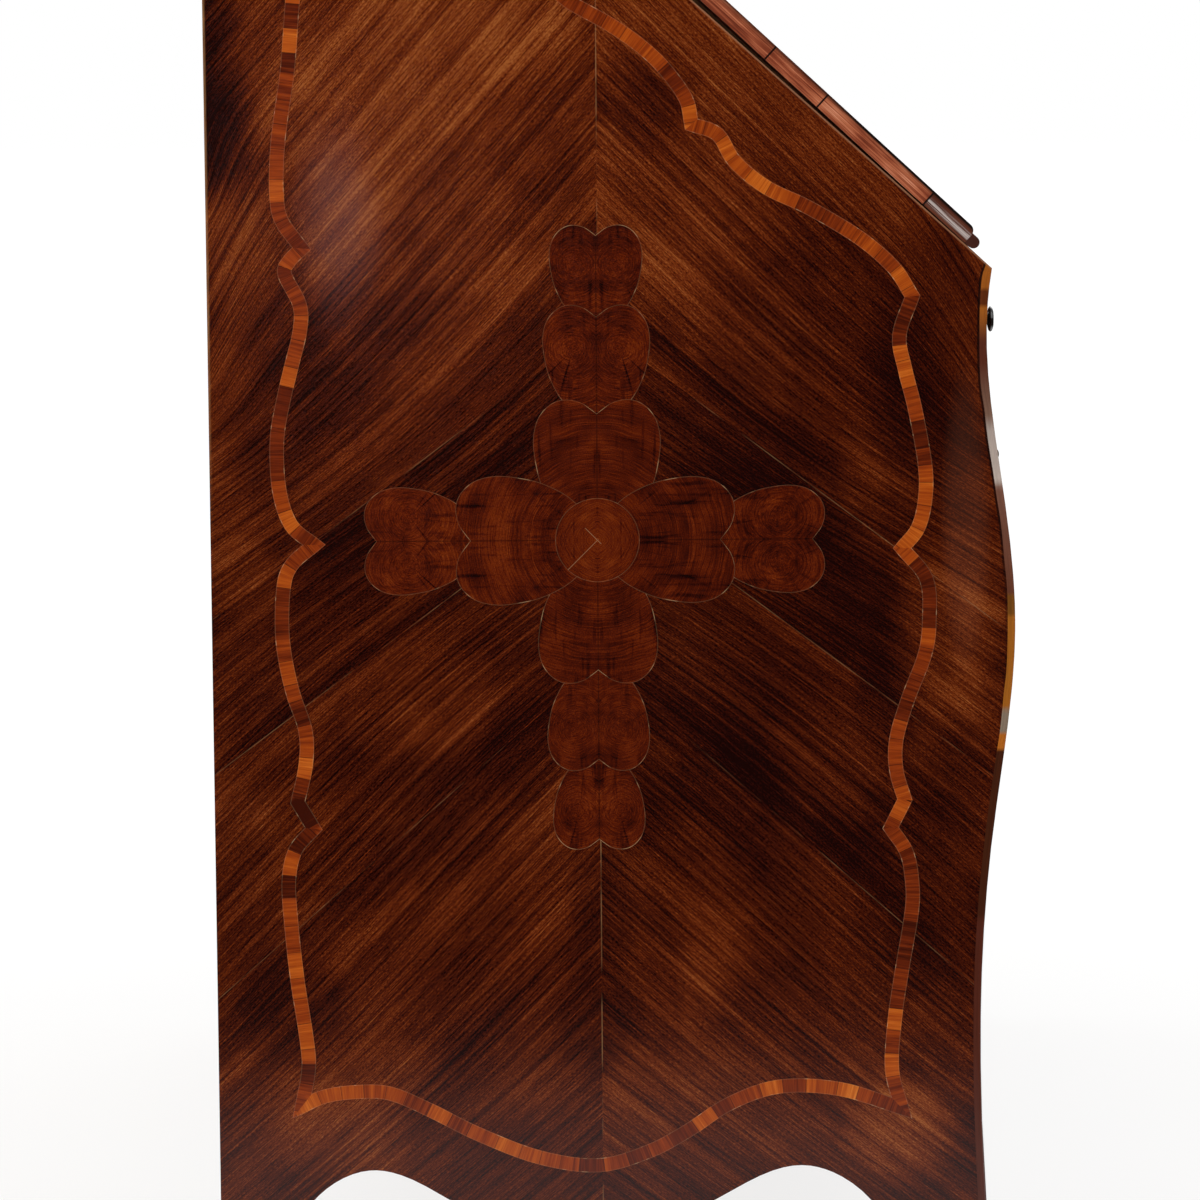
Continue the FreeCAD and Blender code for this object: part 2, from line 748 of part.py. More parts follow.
def bail_path():
    """Centre line of a bail from the front, its pivots on the X axis: pin, neck, drop, corner, bow."""
    half, neck, bend = size("handle_spread") / 2, size("bail_neck"), size("bail_bend")
    drop, corner = size("bail_drop"), size("bail_corner")
    turn = math.radians(size("bail_corner_angle"))

    def on_arc(cx, cz, radius, angle):
        return Vector(cx + radius * math.cos(angle), 0, cz + radius * math.sin(angle))

    start = Vector(-half, 0, 0)
    neck_start = Vector(-neck - bend, 0, 0)
    neck_end = Vector(-neck, 0, -bend)
    corner_start = Vector(-neck, 0, -bend - drop)
    corner_x, corner_z = -neck + corner, -bend - drop
    corner_end = on_arc(corner_x, corner_z, corner, math.pi + turn)
    bow = -corner_end.x / math.cos(turn)
    bow_low = Vector(0, 0, corner_end.z + bow * math.sin(turn) - bow)
    left = [
        Part.LineSegment(start, neck_start),
        Part.Arc(neck_start, on_arc(-neck - bend, -bend, bend, math.pi / 4), neck_end),
        Part.LineSegment(neck_end, corner_start),
        Part.Arc(corner_start, on_arc(corner_x, corner_z, corner, math.pi + turn / 2), corner_end),
    ]
    mirror = [Vector(-p.x, 0, p.z) for p in (corner_end, corner_start, neck_end, neck_start, start)]
    right = [
        Part.Arc(mirror[0], on_arc(-corner_x, corner_z, corner, -turn / 2), mirror[1]),
        Part.LineSegment(mirror[1], mirror[2]),
        Part.Arc(mirror[2], on_arc(neck + bend, -bend, bend, 3 * math.pi / 4), mirror[3]),
        Part.LineSegment(mirror[3], mirror[4]),
    ]
    edges = left + [Part.Arc(corner_end, bow_low, mirror[0])] + right
    return Part.Wire([edge.toShape() for edge in edges])


def bail_solid():
    path = bail_path()
    start = Vector(-size("handle_spread") / 2, 0, 0)
    section = Part.Wire(Part.makeCircle(size("bail_radius"), start, Vector(1, 0, 0)))
    return path.makePipeShell([section], True, False)


BAIL = bail_solid()
for row in ROWS:
    low, high = size(row + "_floor"), size(row + "_top")
    middle = (low + high) / 2
    reach = front_at(middle)
    key_y = front_at(high - size("key_drop"))
    derive(**{row + "_handle_z": middle, row + "_face_y": reach, row + "_key_y": key_y})

for row in ROWS:
    floor, top, face = row + "_floor", row + "_top", row + "_face_y"
    inside_y = "front_back_y"
    pivot_y = f"{face} - pivot_reach"
    pivot_z = row + "_handle_z"
    posts, drillings = [], []
    for hand, sign in HANDS.items():
        centre = f"{sign} * handle_place"
        for end in (-1, 1):
            x = f"{centre} + {end} * handle_spread / 2"
            key = f"{row}_{hand}_{'outer' if end == sign else 'inner'}"
            # Rosette against the front, post with its ball, shank through the front and nut inside it
            around = (f"{face} - plate_thick - overrun", f"{face} + overrun")
            blank = rod(key + "_rosette_blank", "rosette_radius", x, around, pivot_z)
            plate = common(key + "_rosette_plate", blank, plate_form)
            rosette = cut(key + "_rosette", plate, seat_form)
            joint_y = f"{face} - (plate_thick + plate_gap) / 2"
            post = rod(key + "_post", "post_radius", x, (f"{pivot_y} - post_nose", joint_y), pivot_z)
            ball = (f"{x} - post_nose", f"{x} + post_nose")
            head = rod(key + "_head", "post_head", ball, pivot_y, pivot_z)
            nut_end = f"{inside_y} + nut_thick"
            shank = rod(key + "_shank", "shank_radius", x, (joint_y, nut_end), pivot_z)
            nut = rod(key + "_nut", "nut_radius", x, (inside_y, nut_end), pivot_z)
            through = (f"{x} - post_head - overrun", f"{x} + post_head + overrun")
            bore = rod(key + "_bore", "bail_radius + bail_clearance", through, pivot_y, pivot_z)
            posts.append(cut(key + "_mount", fuse(key + "_casting", rosette, post, head, shank, nut), bore))
            depth = (f"{face} - overrun", f"{inside_y} + overrun")
            drillings.append(rod(key + "_drilling", "shank_radius + shank_clearance", x, depth, pivot_z))
        bail = doc.addObject("Part::Feature", f"{row}_bail_{hand}")
        bail.Shape = BAIL
        node(f"{row}_bail_{hand}", place(bail, centre, pivot_y, pivot_z))
    node(row + "_handle_mounts", group(row + "_handle_mounts", *posts))

    # Lock, let into the back of the front, with its bolt in a channel open at the top
    lock_x = ("-lock_width / 2", "lock_width / 2")
    front_top = f"{top} - front_gap"
    lock_y = (f"{inside_y} - lock_thick", inside_y)
    bolt_y = (
        f"{inside_y} - lock_thick / 2 - bolt_thick / 2",
        f"{inside_y} - lock_thick / 2 + bolt_thick / 2",
    )
    lock_z = (f"{front_top} - lock_height", front_top)
    bolt_z = (f"{front_top} - bolt_setback - bolt_length", f"{front_top} - bolt_setback")
    channel = box(
        row + "_channel",
        ("-bolt_width / 2 - bolt_gap", "bolt_width / 2 + bolt_gap"),
        (f"{bolt_y[0]} - bolt_gap", f"{bolt_y[1]} + bolt_gap"),
        (f"{bolt_z[0]} - bolt_gap", f"{front_top} + overrun"),
    )
    key_z = f"{top} - key_drop"
    key_y = (f"{row}_key_y - overrun", f"{inside_y} - lock_thick / 2")
    eye = rod(row + "_key_eye", "key_radius", "0", key_y, key_z)
    slot = box(row + "_key_slot", ("-key_web / 2", "key_web / 2"), key_y, (f"{key_z} - key_slot", key_z))
    keyhole = fuse(row + "_keyhole", eye, slot)
    lock_blank = box(row + "_lock_blank", lock_x, lock_y, lock_z)
    node(row + "_lock", cut(row + "_lock", lock_blank, channel, keyhole))
    node(row + "_bolt", box(row + "_bolt", ("-bolt_width / 2", "bolt_width / 2"), bolt_y, bolt_z))

    # Escutcheon: a plate with round ends that follows the front
    around = (f"{row}_key_y - plate_thick - overrun", f"{row}_key_y + plate_thick + overrun")
    plate_middle = f"{key_z} - key_slot / 2"
    straight = "(escutcheon_height - escutcheon_width) / 2"
    ends = (f"{plate_middle} - {straight}", f"{plate_middle} + {straight}")
    across = ("-escutcheon_width / 2", "escutcheon_width / 2")
    parts = [rod(f"{row}_plate_end_{n}", "escutcheon_width / 2", "0", around, z) for n, z in enumerate(ends)]
    parts.append(box(row + "_plate_web", across, around, ends))
    plate = common(row + "_plate", fuse(row + "_plate_blank", *parts), plate_form)
    node(row + "_escutcheon", cut(row + "_escutcheon", plate, seat_form, keyhole))

    # The front itself and the box behind it
    pocket_y = (lock_y[0], f"{inside_y} + overrun")
    lock_pocket = box(row + "_lock_pocket", lock_x, pocket_y, (lock_z[0], f"{front_top} + overrun"))
    front_x = ("-side_inner + front_gap", "side_inner - front_gap")
    blank = fronted(row + "_front_blank", front_x, (f"{floor} + front_gap", front_top))
    node(row + "_front", cut(row + "_front", blank, lock_pocket, keyhole, *drillings))
    walls = tray(
        row + "_tray",
        ("-side_inner + tray_side_gap", "side_inner - tray_side_gap"),
        (f"{floor} + slide_gap", f"{top} - tray_headroom"),
        "tray_thick",
        "tray_bottom",
        "tray_groove",
        "tray_lift",
    )
    node(row + "_tray", group(row + "_tray", *walls))


# The fall, in its own frame: s up the slope from the hinge pin, n out through its thickness

def fall_core_outline():
    low, high, inner = size("tongue_gap"), size("core_end"), size("lip_inner")
    return chain([(low, 0), (high, 0), (high, inner), (low, inner)])


def fall_lip_outline():
    low, high = size("lip_start"), size("lip_end")
    inner, outer, r = size("lip_inner"), size("fall_thick"), size("lip_round")
    middle = r * (1 - math.sqrt(0.5))
    nose = Part.Arc(
        Vector(low, outer - r, 0),
        Vector(low + middle, outer - middle, 0),
        Vector(low + r, outer, 0),
    )
    corners = [(low + r, outer), (high, outer), (high, inner), (low, inner), (low, outer - r)]
    return [nose] + chain(corners, closed=False)


def bead_outline():
    back, inner, r = size("lip_start"), size("lip_inner"), size("bead_radius")
    front = back - size("bead_flat")
    outer = inner + 2 * r
    bow = Part.Arc(Vector(front, outer, 0), Vector(front - r, inner + r, 0), Vector(front, inner, 0))
    return [bow] + chain([(front, inner), (back, inner), (back, outer), (front, outer)], closed=False)


core_width = "2 * (side_inner - core_margin)"
fall_core = lean(padded("fall_core", "YZ_Plane", fall_core_outline(), core_width), "0", "0")
lip_width = "case_width - 2 * lip_margin"
fall_lip = lean(padded("fall_lip", "YZ_Plane", fall_lip_outline(), lip_width), "0", "0")
node("fall_bead", lean(padded("fall_bead", "YZ_Plane", bead_outline(), lip_width), "0", "0"))

lock_x = ("-lock_width / 2", "lock_width / 2")
lock_s = ("core_end - lock_height", "core_end")
lock_n = ("0", "lock_thick")
bolt_s = ("core_end - bolt_setback - bolt_length", "core_end - bolt_setback")
bolt_n = ("bolt_setback", "bolt_setback + bolt_thick")
fall_lock_blank = leaning_box("fall_lock_blank", lock_x, lock_s, lock_n)
fall_channel = leaning_box(
    "fall_channel",
    ("-bolt_width / 2 - bolt_gap", "bolt_width / 2 + bolt_gap"),
    (f"{bolt_s[0]} - bolt_gap", "core_end + overrun"),
    (f"{bolt_n[0]} - bolt_gap", f"{bolt_n[1]} + bolt_gap"),
)
fall_pocket = leaning_box("fall_lock_pocket", lock_x, lock_s, ("-overrun", "lock_thick"))
fall_eye = doc.addObject("Part::Cylinder", "fall_key_eye")
bind(fall_eye, "Radius", "key_radius")
bind(fall_eye, "Height", "fall_thick + overrun - lock_thick / 2")
lean(fall_eye, "core_end - key_drop", "lock_thick / 2")
fall_slot = leaning_box(
    "fall_key_slot",
    ("-key_web / 2", "key_web / 2"),
    ("core_end - key_drop - key_slot", "core_end - key_drop"),
    ("lock_thick / 2", "fall_thick + overrun"),
)
fall_keyhole = fuse("fall_keyhole", fall_eye, fall_slot)
node("fall_lock", cut("fall_lock", fall_lock_blank, fall_channel, fall_keyhole))
node("fall_bolt", leaning_box("fall_bolt", ("-bolt_width / 2", "bolt_width / 2"), bolt_s, bolt_n))

fall_blank = fuse("fall_blank", fall_core, fall_lip)
node("fall_panel", cut("fall_panel", fall_blank, fall_pocket, fall_keyhole, *fall_pockets))


def fall_plate_outline():
    half, tall, r = size("escutcheon_width") / 2, size("escutcheon_height") / 2, size("escutcheon_width") / 2
    centre = size("core_end") - size("key_drop") - size("key_slot") / 2
    top, low = centre + tall - r, centre - tall + r
    return [
        Part.Arc(Vector(half, top, 0), Vector(0, top + r, 0), Vector(-half, top, 0)),
        Part.LineSegment(Vector(-half, top, 0), Vector(-half, low, 0)),
        Part.Arc(Vector(-half, low, 0), Vector(0, low - r, 0), Vector(half, low, 0)),
        Part.LineSegment(Vector(half, low, 0), Vector(half, top, 0)),
    ]


fall_plate = padded("fall_plate", "XY_Plane", fall_plate_outline(), "plate_thick")
lean(fall_plate, "0", "fall_thick + plate_thick / 2")
node("fall_escutcheon", cut("fall_escutcheon", fall_plate, fall_keyhole))

# Fitted interior: a shelf over two small drawers, partitions between the pigeonholes, an arch in each

GALLERY_Y = ("gallery_y", "back_inner")
shelf_z = ("board_height + letter_opening", "board_height + letter_opening + gallery_board")
niche_x = "niche_width / 2"
bay = f"(side_inner - {niche_x} - gallery_board)"
frame_boards = []
arches = []
for hand, sign in HANDS.items():

    def spanning(name, near, far, y, z):
        """A board on one side of the middle, from a near to a far distance from it."""
        return box(f"{name}_{hand}", mirrored(sign, near, far), y, z)

    wall = (niche_x, f"{niche_x} + gallery_board")
    frame_boards.append(spanning("niche_wall", *wall, GALLERY_Y, ("board_height", "side_height")))
    frame_boards.append(spanning("shelf", wall[1], "side_inner", GALLERY_Y, shelf_z))
    pitch = f"({bay} + gallery_board) / {PIGEONHOLES}"
    for number in range(1, PIGEONHOLES):
        near = f"{wall[1]} + {number} * {pitch} - gallery_board"
        far, tall = f"{near} + gallery_board", (shelf_z[1], "side_height")
        frame_boards.append(spanning(f"partition_{number}", near, far, GALLERY_Y, tall))
frame_boards.append(
    box(
        "niche_shelf",
        (f"-{niche_x}", niche_x),
        GALLERY_Y,
        ("board_height + niche_shelf_rise", "board_height + niche_shelf_rise + gallery_board"),
    )
)
node("pigeonhole_frame", group("pigeonhole_frame", *frame_boards))


def arch_board(name, low, high):
    """A board across the top of one pigeonhole, its lower edge cut to an arch."""
    top, drop, rise = size("side_height"), size("arch_drop"), size("arch_rise")
    foot = top - drop
    inset = (high - low) * ARCH_FOOT_SHARE
    start, end = (low + inset, foot), (high - inset, foot)
    bow = Part.Arc(Vector(*start, 0), Vector((low + high) / 2, foot + rise, 0), Vector(*end, 0))
    edges = chain([end, (high, foot), (high, top), (low, top), (low, foot), start], closed=False)
    board = padded(name, "XZ_Plane", [bow] + edges, "arch_board")
    return place(board, y="gallery_y + arch_setback + arch_board / 2")


first = size("niche_width") / 2
bay_width = size("side_inner") - first
pitch = bay_width / PIGEONHOLES
for hand, sign in HANDS.items():
    for number in range(PIGEONHOLES):
        near = first + size("gallery_board") + number * pitch
        far = near + pitch - size("gallery_board")
        low, high = (near, far) if sign > 0 else (-far, -near)
        arches.append(arch_board(f"arch_{hand}_{number}", low, high))
arches.append(arch_board("arch_niche", -first, first))
node("pigeonhole_arches", group("pigeonhole_arches", *arches))

for hand, sign in HANDS.items():
    inner, outer = f"{niche_x} + gallery_board + letter_gap", "side_inner - letter_gap"
    x = mirrored(sign, inner, outer)
    z = ("board_height + slide_gap", "board_height + letter_opening - letter_gap")
    front_y = ("gallery_y", "gallery_y + letter_front")
    knob_z = "board_height + letter_opening / 2"
    spots = [f"{sign} * ({inner} + letter_knob_inset)", f"{sign} * ({outer} - letter_knob_inset)"]
    holes, knobs = [], []
    for number, spot in enumerate(spots):
        at = ("letter_knob_radius", spot, "gallery_y", knob_z)
        holes.append(knob_hole(f"letter_hole_{hand}_{number}", *at))
        knobs.append(knob(f"letter_knob_{hand}_{number}", at[0], "letter_knob_reach", *at[1:]))
    front = cut("letter_front_" + hand, box("letter_front_blank_" + hand, x, front_y, z), *holes)
    walls = tray(
        "letter_tray_" + hand,
        x,
        z,
        "letter_wall",
        "letter_bottom",
        "frieze_groove",
        "frieze_lift",
        back="back_inner - letter_back_gap",
        front="gallery_y + letter_front",
    )
    node("letter_drawer_" + hand, group("letter_drawer_" + hand, front, *walls))
    node("letter_knobs_" + hand, group("letter_knobs_" + hand, *knobs))

# Everything is recomputed and looked at before anything is written

doc.recompute()
for thing in doc.Objects:
    if "Invalid" in thing.State or "Error" in thing.State:
        raise RuntimeError(f"{thing.Label} failed: {thing.State}")
for name, made in NODES.items():
    if made.Shape.isNull() or not made.Shape.isValid() or not made.Shape.Solids:
        raise RuntimeError(f"{name} has no valid solid")

os.makedirs("parts", exist_ok=True)
for name, made in NODES.items():
    made.Shape.exportStep(f"parts/{name}.step")
print(len(NODES), "nodes,", sum(len(made.Shape.Solids) for made in NODES.values()), "solids")
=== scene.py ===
# %% [markdown]
# # A fall-front desk in kingwood marquetry
# The CAD frame holds every board, drawer and hinge of the desk. What Blender adds is the skin: a case like
# this is plain softwood and walnut under sheets of kingwood, tulipwood bands and hearts cut from small logs.
# Each finish could be painted on an image, but nodes follow the real boards at the real size, so they stay
# sharp from any side.

# %% Load the frame
import json
import math
import bmesh
import bpy
import numpy as np
from mathutils import Matrix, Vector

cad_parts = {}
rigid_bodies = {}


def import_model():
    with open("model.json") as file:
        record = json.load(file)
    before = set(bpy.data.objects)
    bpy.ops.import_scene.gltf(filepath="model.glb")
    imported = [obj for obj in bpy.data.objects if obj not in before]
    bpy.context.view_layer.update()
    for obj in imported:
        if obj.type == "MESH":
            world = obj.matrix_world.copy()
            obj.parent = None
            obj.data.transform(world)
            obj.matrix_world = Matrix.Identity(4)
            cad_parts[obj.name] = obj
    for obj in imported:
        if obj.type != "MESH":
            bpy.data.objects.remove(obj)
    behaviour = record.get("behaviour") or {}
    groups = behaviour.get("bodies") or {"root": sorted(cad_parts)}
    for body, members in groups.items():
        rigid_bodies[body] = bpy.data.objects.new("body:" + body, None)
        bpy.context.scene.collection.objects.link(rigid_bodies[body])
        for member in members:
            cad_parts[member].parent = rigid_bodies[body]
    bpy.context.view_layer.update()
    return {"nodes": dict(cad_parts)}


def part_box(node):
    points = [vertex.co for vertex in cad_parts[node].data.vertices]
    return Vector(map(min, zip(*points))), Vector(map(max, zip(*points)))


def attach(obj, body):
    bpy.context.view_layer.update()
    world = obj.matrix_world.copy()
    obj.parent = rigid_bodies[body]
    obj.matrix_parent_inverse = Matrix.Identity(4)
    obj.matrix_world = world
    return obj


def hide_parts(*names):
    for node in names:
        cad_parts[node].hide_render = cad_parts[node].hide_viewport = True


for thing in list(bpy.data.objects):
    bpy.data.objects.remove(thing)
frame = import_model()
nodes = frame["nodes"]


def placed(name, data, pose=None):
    """A new object in the scene. A pose stands it: its right, its up, its back, and its place."""
    thing = bpy.data.objects.new(name, data)
    bpy.context.scene.collection.objects.link(thing)
    if pose:
        stand = np.eye(4)
        stand[:3] = np.stack(pose, axis=1)
        thing.matrix_world = Matrix(stand.tolist())
    return thing


# %% [markdown]
# The marquetry was read from the side in millimetres: how far a point lies from the seam down the middle
# of the side, towards the front, and how far above the middle of the view. These few lengths set it on the
# board. The veneers lie in a shallow bed, so that nothing stands outside the case, and the slant starts
# where the writing surface meets the front.

# %% Lengths that place the veneers
MILLIMETRE = 0.001
SEAM_Y = 0.0165
MIDDLE_Z = 0.525
SIDE_X = 0.560
INSIDE_X = 0.5405
HANDS = ((-1, "left"), (1, "right"))
BED = 0.0003
PLATE = 1.5 * BED
SLANT_START = (-0.258, 0.755)
CASE_SLANT = math.radians(41.9)
BELLY_Y = -0.235
BAND_WIDTH = 0.0101
BACK_Y = max(corner.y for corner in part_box("side_left"))


def on_side(across_up, hand, depth):
    """Points on the side from pairs of millimetres: y = seam - across, z = middle + up, x = side less depth."""
    flat = across_up * MILLIMETRE
    x = np.full(flat.shape[:-1], hand * (SIDE_X - depth))
    return np.stack([x, SEAM_Y - flat[..., 0], MIDDLE_Z + flat[..., 1]], axis=-1)


# %% [markdown]
# ## The camera
# The desk was seen square to its left side from three and a half metres, a little above its middle, with a
# long lens. The camera looks along +X, pitched down and rolled very slightly, so its axes are written out.

# %% Set the camera
PITCH = math.radians(6.762)
ROLL = math.radians(0.380)
CAMERA_PLACE = (-4.0357, 0.016, 0.937)
level_right = np.array([0.0, -1.0, 0.0])
level_up = np.array([math.sin(PITCH), 0.0, math.cos(PITCH)])
ahead = np.array([math.cos(PITCH), 0.0, -math.sin(PITCH)])
camera_right = math.cos(ROLL) * level_right - math.sin(ROLL) * level_up
camera_up = math.sin(ROLL) * level_right + math.cos(ROLL) * level_up
lens = bpy.data.cameras.new("view_camera")
lens.lens, lens.sensor_width = 150, 36
camera = placed("view_camera", lens, (camera_right, camera_up, -ahead, CAMERA_PLACE))
bpy.context.scene.camera = camera
bpy.context.scene.view_settings.view_transform = "Standard"
print("camera", camera.name, CAMERA_PLACE)

# %% [markdown]
# ## Finishes as sums
# A veneer's figure is a sum of streaks, and every sum in a shader is a chain of Math nodes. A small class
# whose plus and times signs lay those nodes keeps the sums readable. Colours are mixed with Mix nodes, and
# one method adds any other node with its settings, ramp stops, curve points and inputs.

# %% A value that adds nodes when it is reckoned with
def paint(code):
    """A colour given as it looks on screen, six hex digits, made linear by the screen's own curve."""
    channels = np.array([int(code[i:i + 2], 16) for i in (0, 2, 4)]) / 255
    linear = np.where(channels <= 0.04045, channels / 12.92, ((channels + 0.055) / 1.055) ** 2.4)
    return (*linear.tolist(), 1.0)


def sign(operation, turned=False):
    """The method for a sign of arithmetic: it lays a Math node, with its two terms turned round if asked."""
    def lay(self, other):
        return self.finish.maths(operation, *((other, self) if turned else (self, other)))
    return lay


class Value:
    """A number or a colour on its way through a finish. Arithmetic on it lays a Math node."""

    def __init__(self, finish, socket):
        self.finish = finish
        self.socket = socket

    def __abs__(self):
        return self.finish.maths("ABSOLUTE", self)

    __add__ = __radd__ = sign("ADD")
    __mul__ = __rmul__ = sign("MULTIPLY")
    __sub__, __rsub__ = sign("SUBTRACT"), sign("SUBTRACT", True)
    __truediv__, __rtruediv__ = sign("DIVIDE"), sign("DIVIDE", True)
    __pow__ = sign("POWER")
    __gt__, __lt__ = sign("GREATER_THAN"), sign("LESS_THAN")


# %% The nodes that a finish is laid up from
class Nodes:
    """A tree of nodes. Each method adds what it names and gives back a Value."""

    def __init__(self, tree):
        self.tree = tree

    def join(self, value, socket):
        """Links a Value to a socket, or sets the socket to a plain number or colour."""
        if isinstance(value, Value):
            self.tree.links.new(value.socket, socket)
        else:
            socket.default_value = value

    def node(self, kind, settings=None, inputs=None, out=0):
        """Adds one node: its kind, its settings, with ramp stops or curve points, and its inputs."""
        made = self.tree.nodes.new("ShaderNode" + kind)
        for key, value in (settings or {}).items():
            if key == "stops":
                ramp = made.color_ramp.elements
                ramp[0].position, ramp[0].color = value[0]
                ramp[1].position, ramp[1].color = value[-1]
                for position, colour in value[1:-1]:
                    ramp.new(position).color = colour
            elif key == "points":
                curve = made.mapping.curves[0].points
                curve[0].location, curve[-1].location = value[0], value[-1]
                for place in value[1:-1]:
                    curve.new(*place)
                made.mapping.update()
            else:
                setattr(made, key, value)
        for key, value in (inputs or {}).items():
            self.join(value, made.inputs[key])
        return Value(self, made.outputs[out])

    def maths(self, operation, *terms):
        return self.node("Math", {"operation": operation}, dict(enumerate(terms)))

    def least(self, one, other):
        return self.maths("MINIMUM", one, other)

    def most(self, one, other):
        return self.maths("MAXIMUM", one, other)

    def rise(self, value, start, end):
        """0 below start, 1 above end, and a smooth rise between them; start may be the larger."""
        ends = {"Value": value, "From Min": start, "From Max": end}
        return self.node("MapRange", {"interpolation_type": "SMOOTHSTEP"}, ends)

    def mix(self, share, first, second):
        """The first colour where share is 0, the second where it is 1."""
        return self.node("Mix", {"data_type": "RGBA"}, {0: share, 6: first, 7: second}, 2)

    def blend(self, share, first, second):
        """The first number where share is 0, the second where it is 1."""
        return self.node("Mix", {"data_type": "FLOAT"}, {0: share, 2: first, 3: second}, 0)

    def shade(self, colour, amount):
        """The colour made darker or lighter by the amount."""
        return self.node("VectorMath", {"operation": "SCALE"}, {0: colour, 3: amount})

    def grade(self, value, *stops):
        """A ramp of colours, each stop a place from 0 to 1 and its six digits."""
        places = [(place, paint(code)) for place, code in stops]
        return self.node("ValToRGB", {"stops": places}, {0: value})

    def parts(self, source, count):
        """The first so many coordinates of a place."""
        split = self.node("SeparateXYZ", None, {0: source}).socket.node
        return [Value(self, split.outputs[i]) for i in range(count)]

    def place(self):
        """x, y and z on the object, in metres."""
        return self.parts(self.node("TexCoord", out=3), 3)

    def layout(self, name):
        """The two coordinates of a piece's own UV map, in metres."""
        return self.parts(self.node("UVMap", {"uv_map": name}), 2)

    def mark(self, name):
        """A number that the piece carries at its points."""
        return self.node("Attribute", {"attribute_name": name}, out=2)

    def noise(self, x, y, z, detail=2.0, roughness=0.5):
        """Soft noise from 0 to 1 about 0.5; the coordinates are already in its own units."""
        where = self.node("CombineXYZ", None, {0: x, 1: y, 2: z})
        settings = {"Vector": where, "Scale": 1.0, "Detail": detail, "Roughness": roughness}
        return self.node("TexNoise", None, settings)

    def blocks(self, along, row=0.0):
        """A row of pieces cut to uneven lengths of about 1: each piece's chance number, and how near its
        joint is."""
        cut = {"W": along + row, "Scale": 1.0, "Randomness": 0.85}
        chance = self.node("TexVoronoi", {"voronoi_dimensions": "1D"}, cut, 1)
        edge = {"voronoi_dimensions": "1D", "feature": "DISTANCE_TO_EDGE"}
        near = self.node("TexVoronoi", edge, cut)
        return self.node("SeparateColor", None, {0: chance}), near


class Finish(Nodes):
    """A material and its nodes."""

    COAT_ROUGHNESS = 0.09

    def __init__(self, name):
        self.material = bpy.data.materials.new(name)
        self.material.use_nodes = True
        self.shader = self.material.node_tree.nodes["Principled BSDF"]
        super().__init__(self.material.node_tree)

    def polish(self, colour, rough, relief=None, depth=0.0001, coat=0.0, metal=0.0, gleam=0.5):
        """The last coat: colour, roughness and relief join the shader, and the rest is set on its sockets."""
        self.join(colour, self.shader.inputs["Base Color"])
        self.join(rough, self.shader.inputs["Roughness"])
        self.shader.inputs["Metallic"].default_value = metal
        self.shader.inputs["Coat Weight"].default_value = coat
        self.shader.inputs["Coat Roughness"].default_value = self.COAT_ROUGHNESS
        self.shader.inputs["Specular IOR Level"].default_value = gleam
        if relief is not None:
            heights = {"Strength": 1.0, "Distance": depth, "Height": relief}
            self.join(self.node("Bump", None, heights), self.shader.inputs["Normal"])
        return self.material


print("finish methods", [word for word in dir(Finish) if not word.startswith("_")])

# %% [markdown]
# ## Kingwood
# Kingwood is cut from small logs, so its leaves are narrow, with straight violet-brown streaks between
# chestnut ones. The streaks are noise stretched a hundred times along the grain, in three widths, and a
# slower noise clouds them. A number for each leaf shifts the noise, as another leaf would.

# %% Woods, each as a colour over along and across the grain
def kingwood(f, along, across, leaf, tone=0.0):
    """Colour of a kingwood leaf: streaks of three widths, pores and clouds added, graded dark to light."""
    broad = f.noise(along * 1.5, across * 60, leaf * 7.3, 3.0)
    middle = f.noise(along * 3, across * 380, leaf * 3.1 + 4, 4.0, 0.7)
    fine = f.noise(along * 60, across * 1500, leaf + 9, 2.0, 0.7)
    speck = f.noise(along * 520, across * 1500, leaf, 1.0)
    cloud = f.noise(along * 7, across * 11, leaf * 5.7, 3.0)
    figure = broad * 0.5 + middle * 1.3 + fine * 1.0 + speck * 0.9 + cloud * 0.8 - 1.80 + tone
    colour = f.grade(figure, (0.08, "1c0200"), (0.28, "360900"), (0.48, "521902"), (0.66, "6e2a08"),
                     (0.84, "884017"), (1.0, "a55c28"))
    return colour, figure


def tulipwood(f, along, across, row=0.0, size=0.019, shift=0.0):
    """Cross-banding: blocks of uneven length, each its own tone, with fine grain square to the band."""
    tone, joint = f.blocks(along / size, row)
    stripe = f.noise(along * 380, across * 14, tone * 31 + row, 4.0, 0.7)
    grain = f.noise(along * 2200, across * 50, tone * 17, 2.0, 0.6)
    slow = f.noise(along * 45, 3.0, row)
    figure = tone * 0.6 + stripe * 0.95 + grain * 0.3 + slow * 0.5 - 0.72 + shift
    colour = f.grade(figure, (0.06, "3f1003"), (0.28, "6a2206"), (0.48, "93380a"), (0.68, "b34f0f"),
                     (0.86, "cf6a1c"), (1.0, "e38a38"))
    cut = f.rise(joint, 0.0, 0.02)
    return f.mix(cut, paint("35130a"), colour), figure


def plain_wood(f, along, across, through, stops, seed=0.0):
    """A straight board: slow bands, fibres and small pores, graded over the stops."""
    bands = f.noise(along * 1.6, across * 34, through * 34 + seed, 3.0)
    fibres = f.noise(along * 14, across * 620, through * 620 + seed, 3.0, 0.6)
    pores = f.noise(along * 120, across * 2100, through * 2100 + seed, 1.0)
    figure = bands * 0.75 + fibres * 0.42 + 0.1 - 0.16 * f.rise(pores, 0.6, 0.72)
    return f.grade(figure, *stops), figure


WALNUT = ((0.25, "2c170c"), (0.45, "4f2e19"), (0.62, "74492a"), (0.85, "94653d"))
PINE = ((0.25, "5f3c1c"), (0.45, "8e6233"), (0.62, "ae8049"), (0.85, "c59c66"))
print("woods ready")

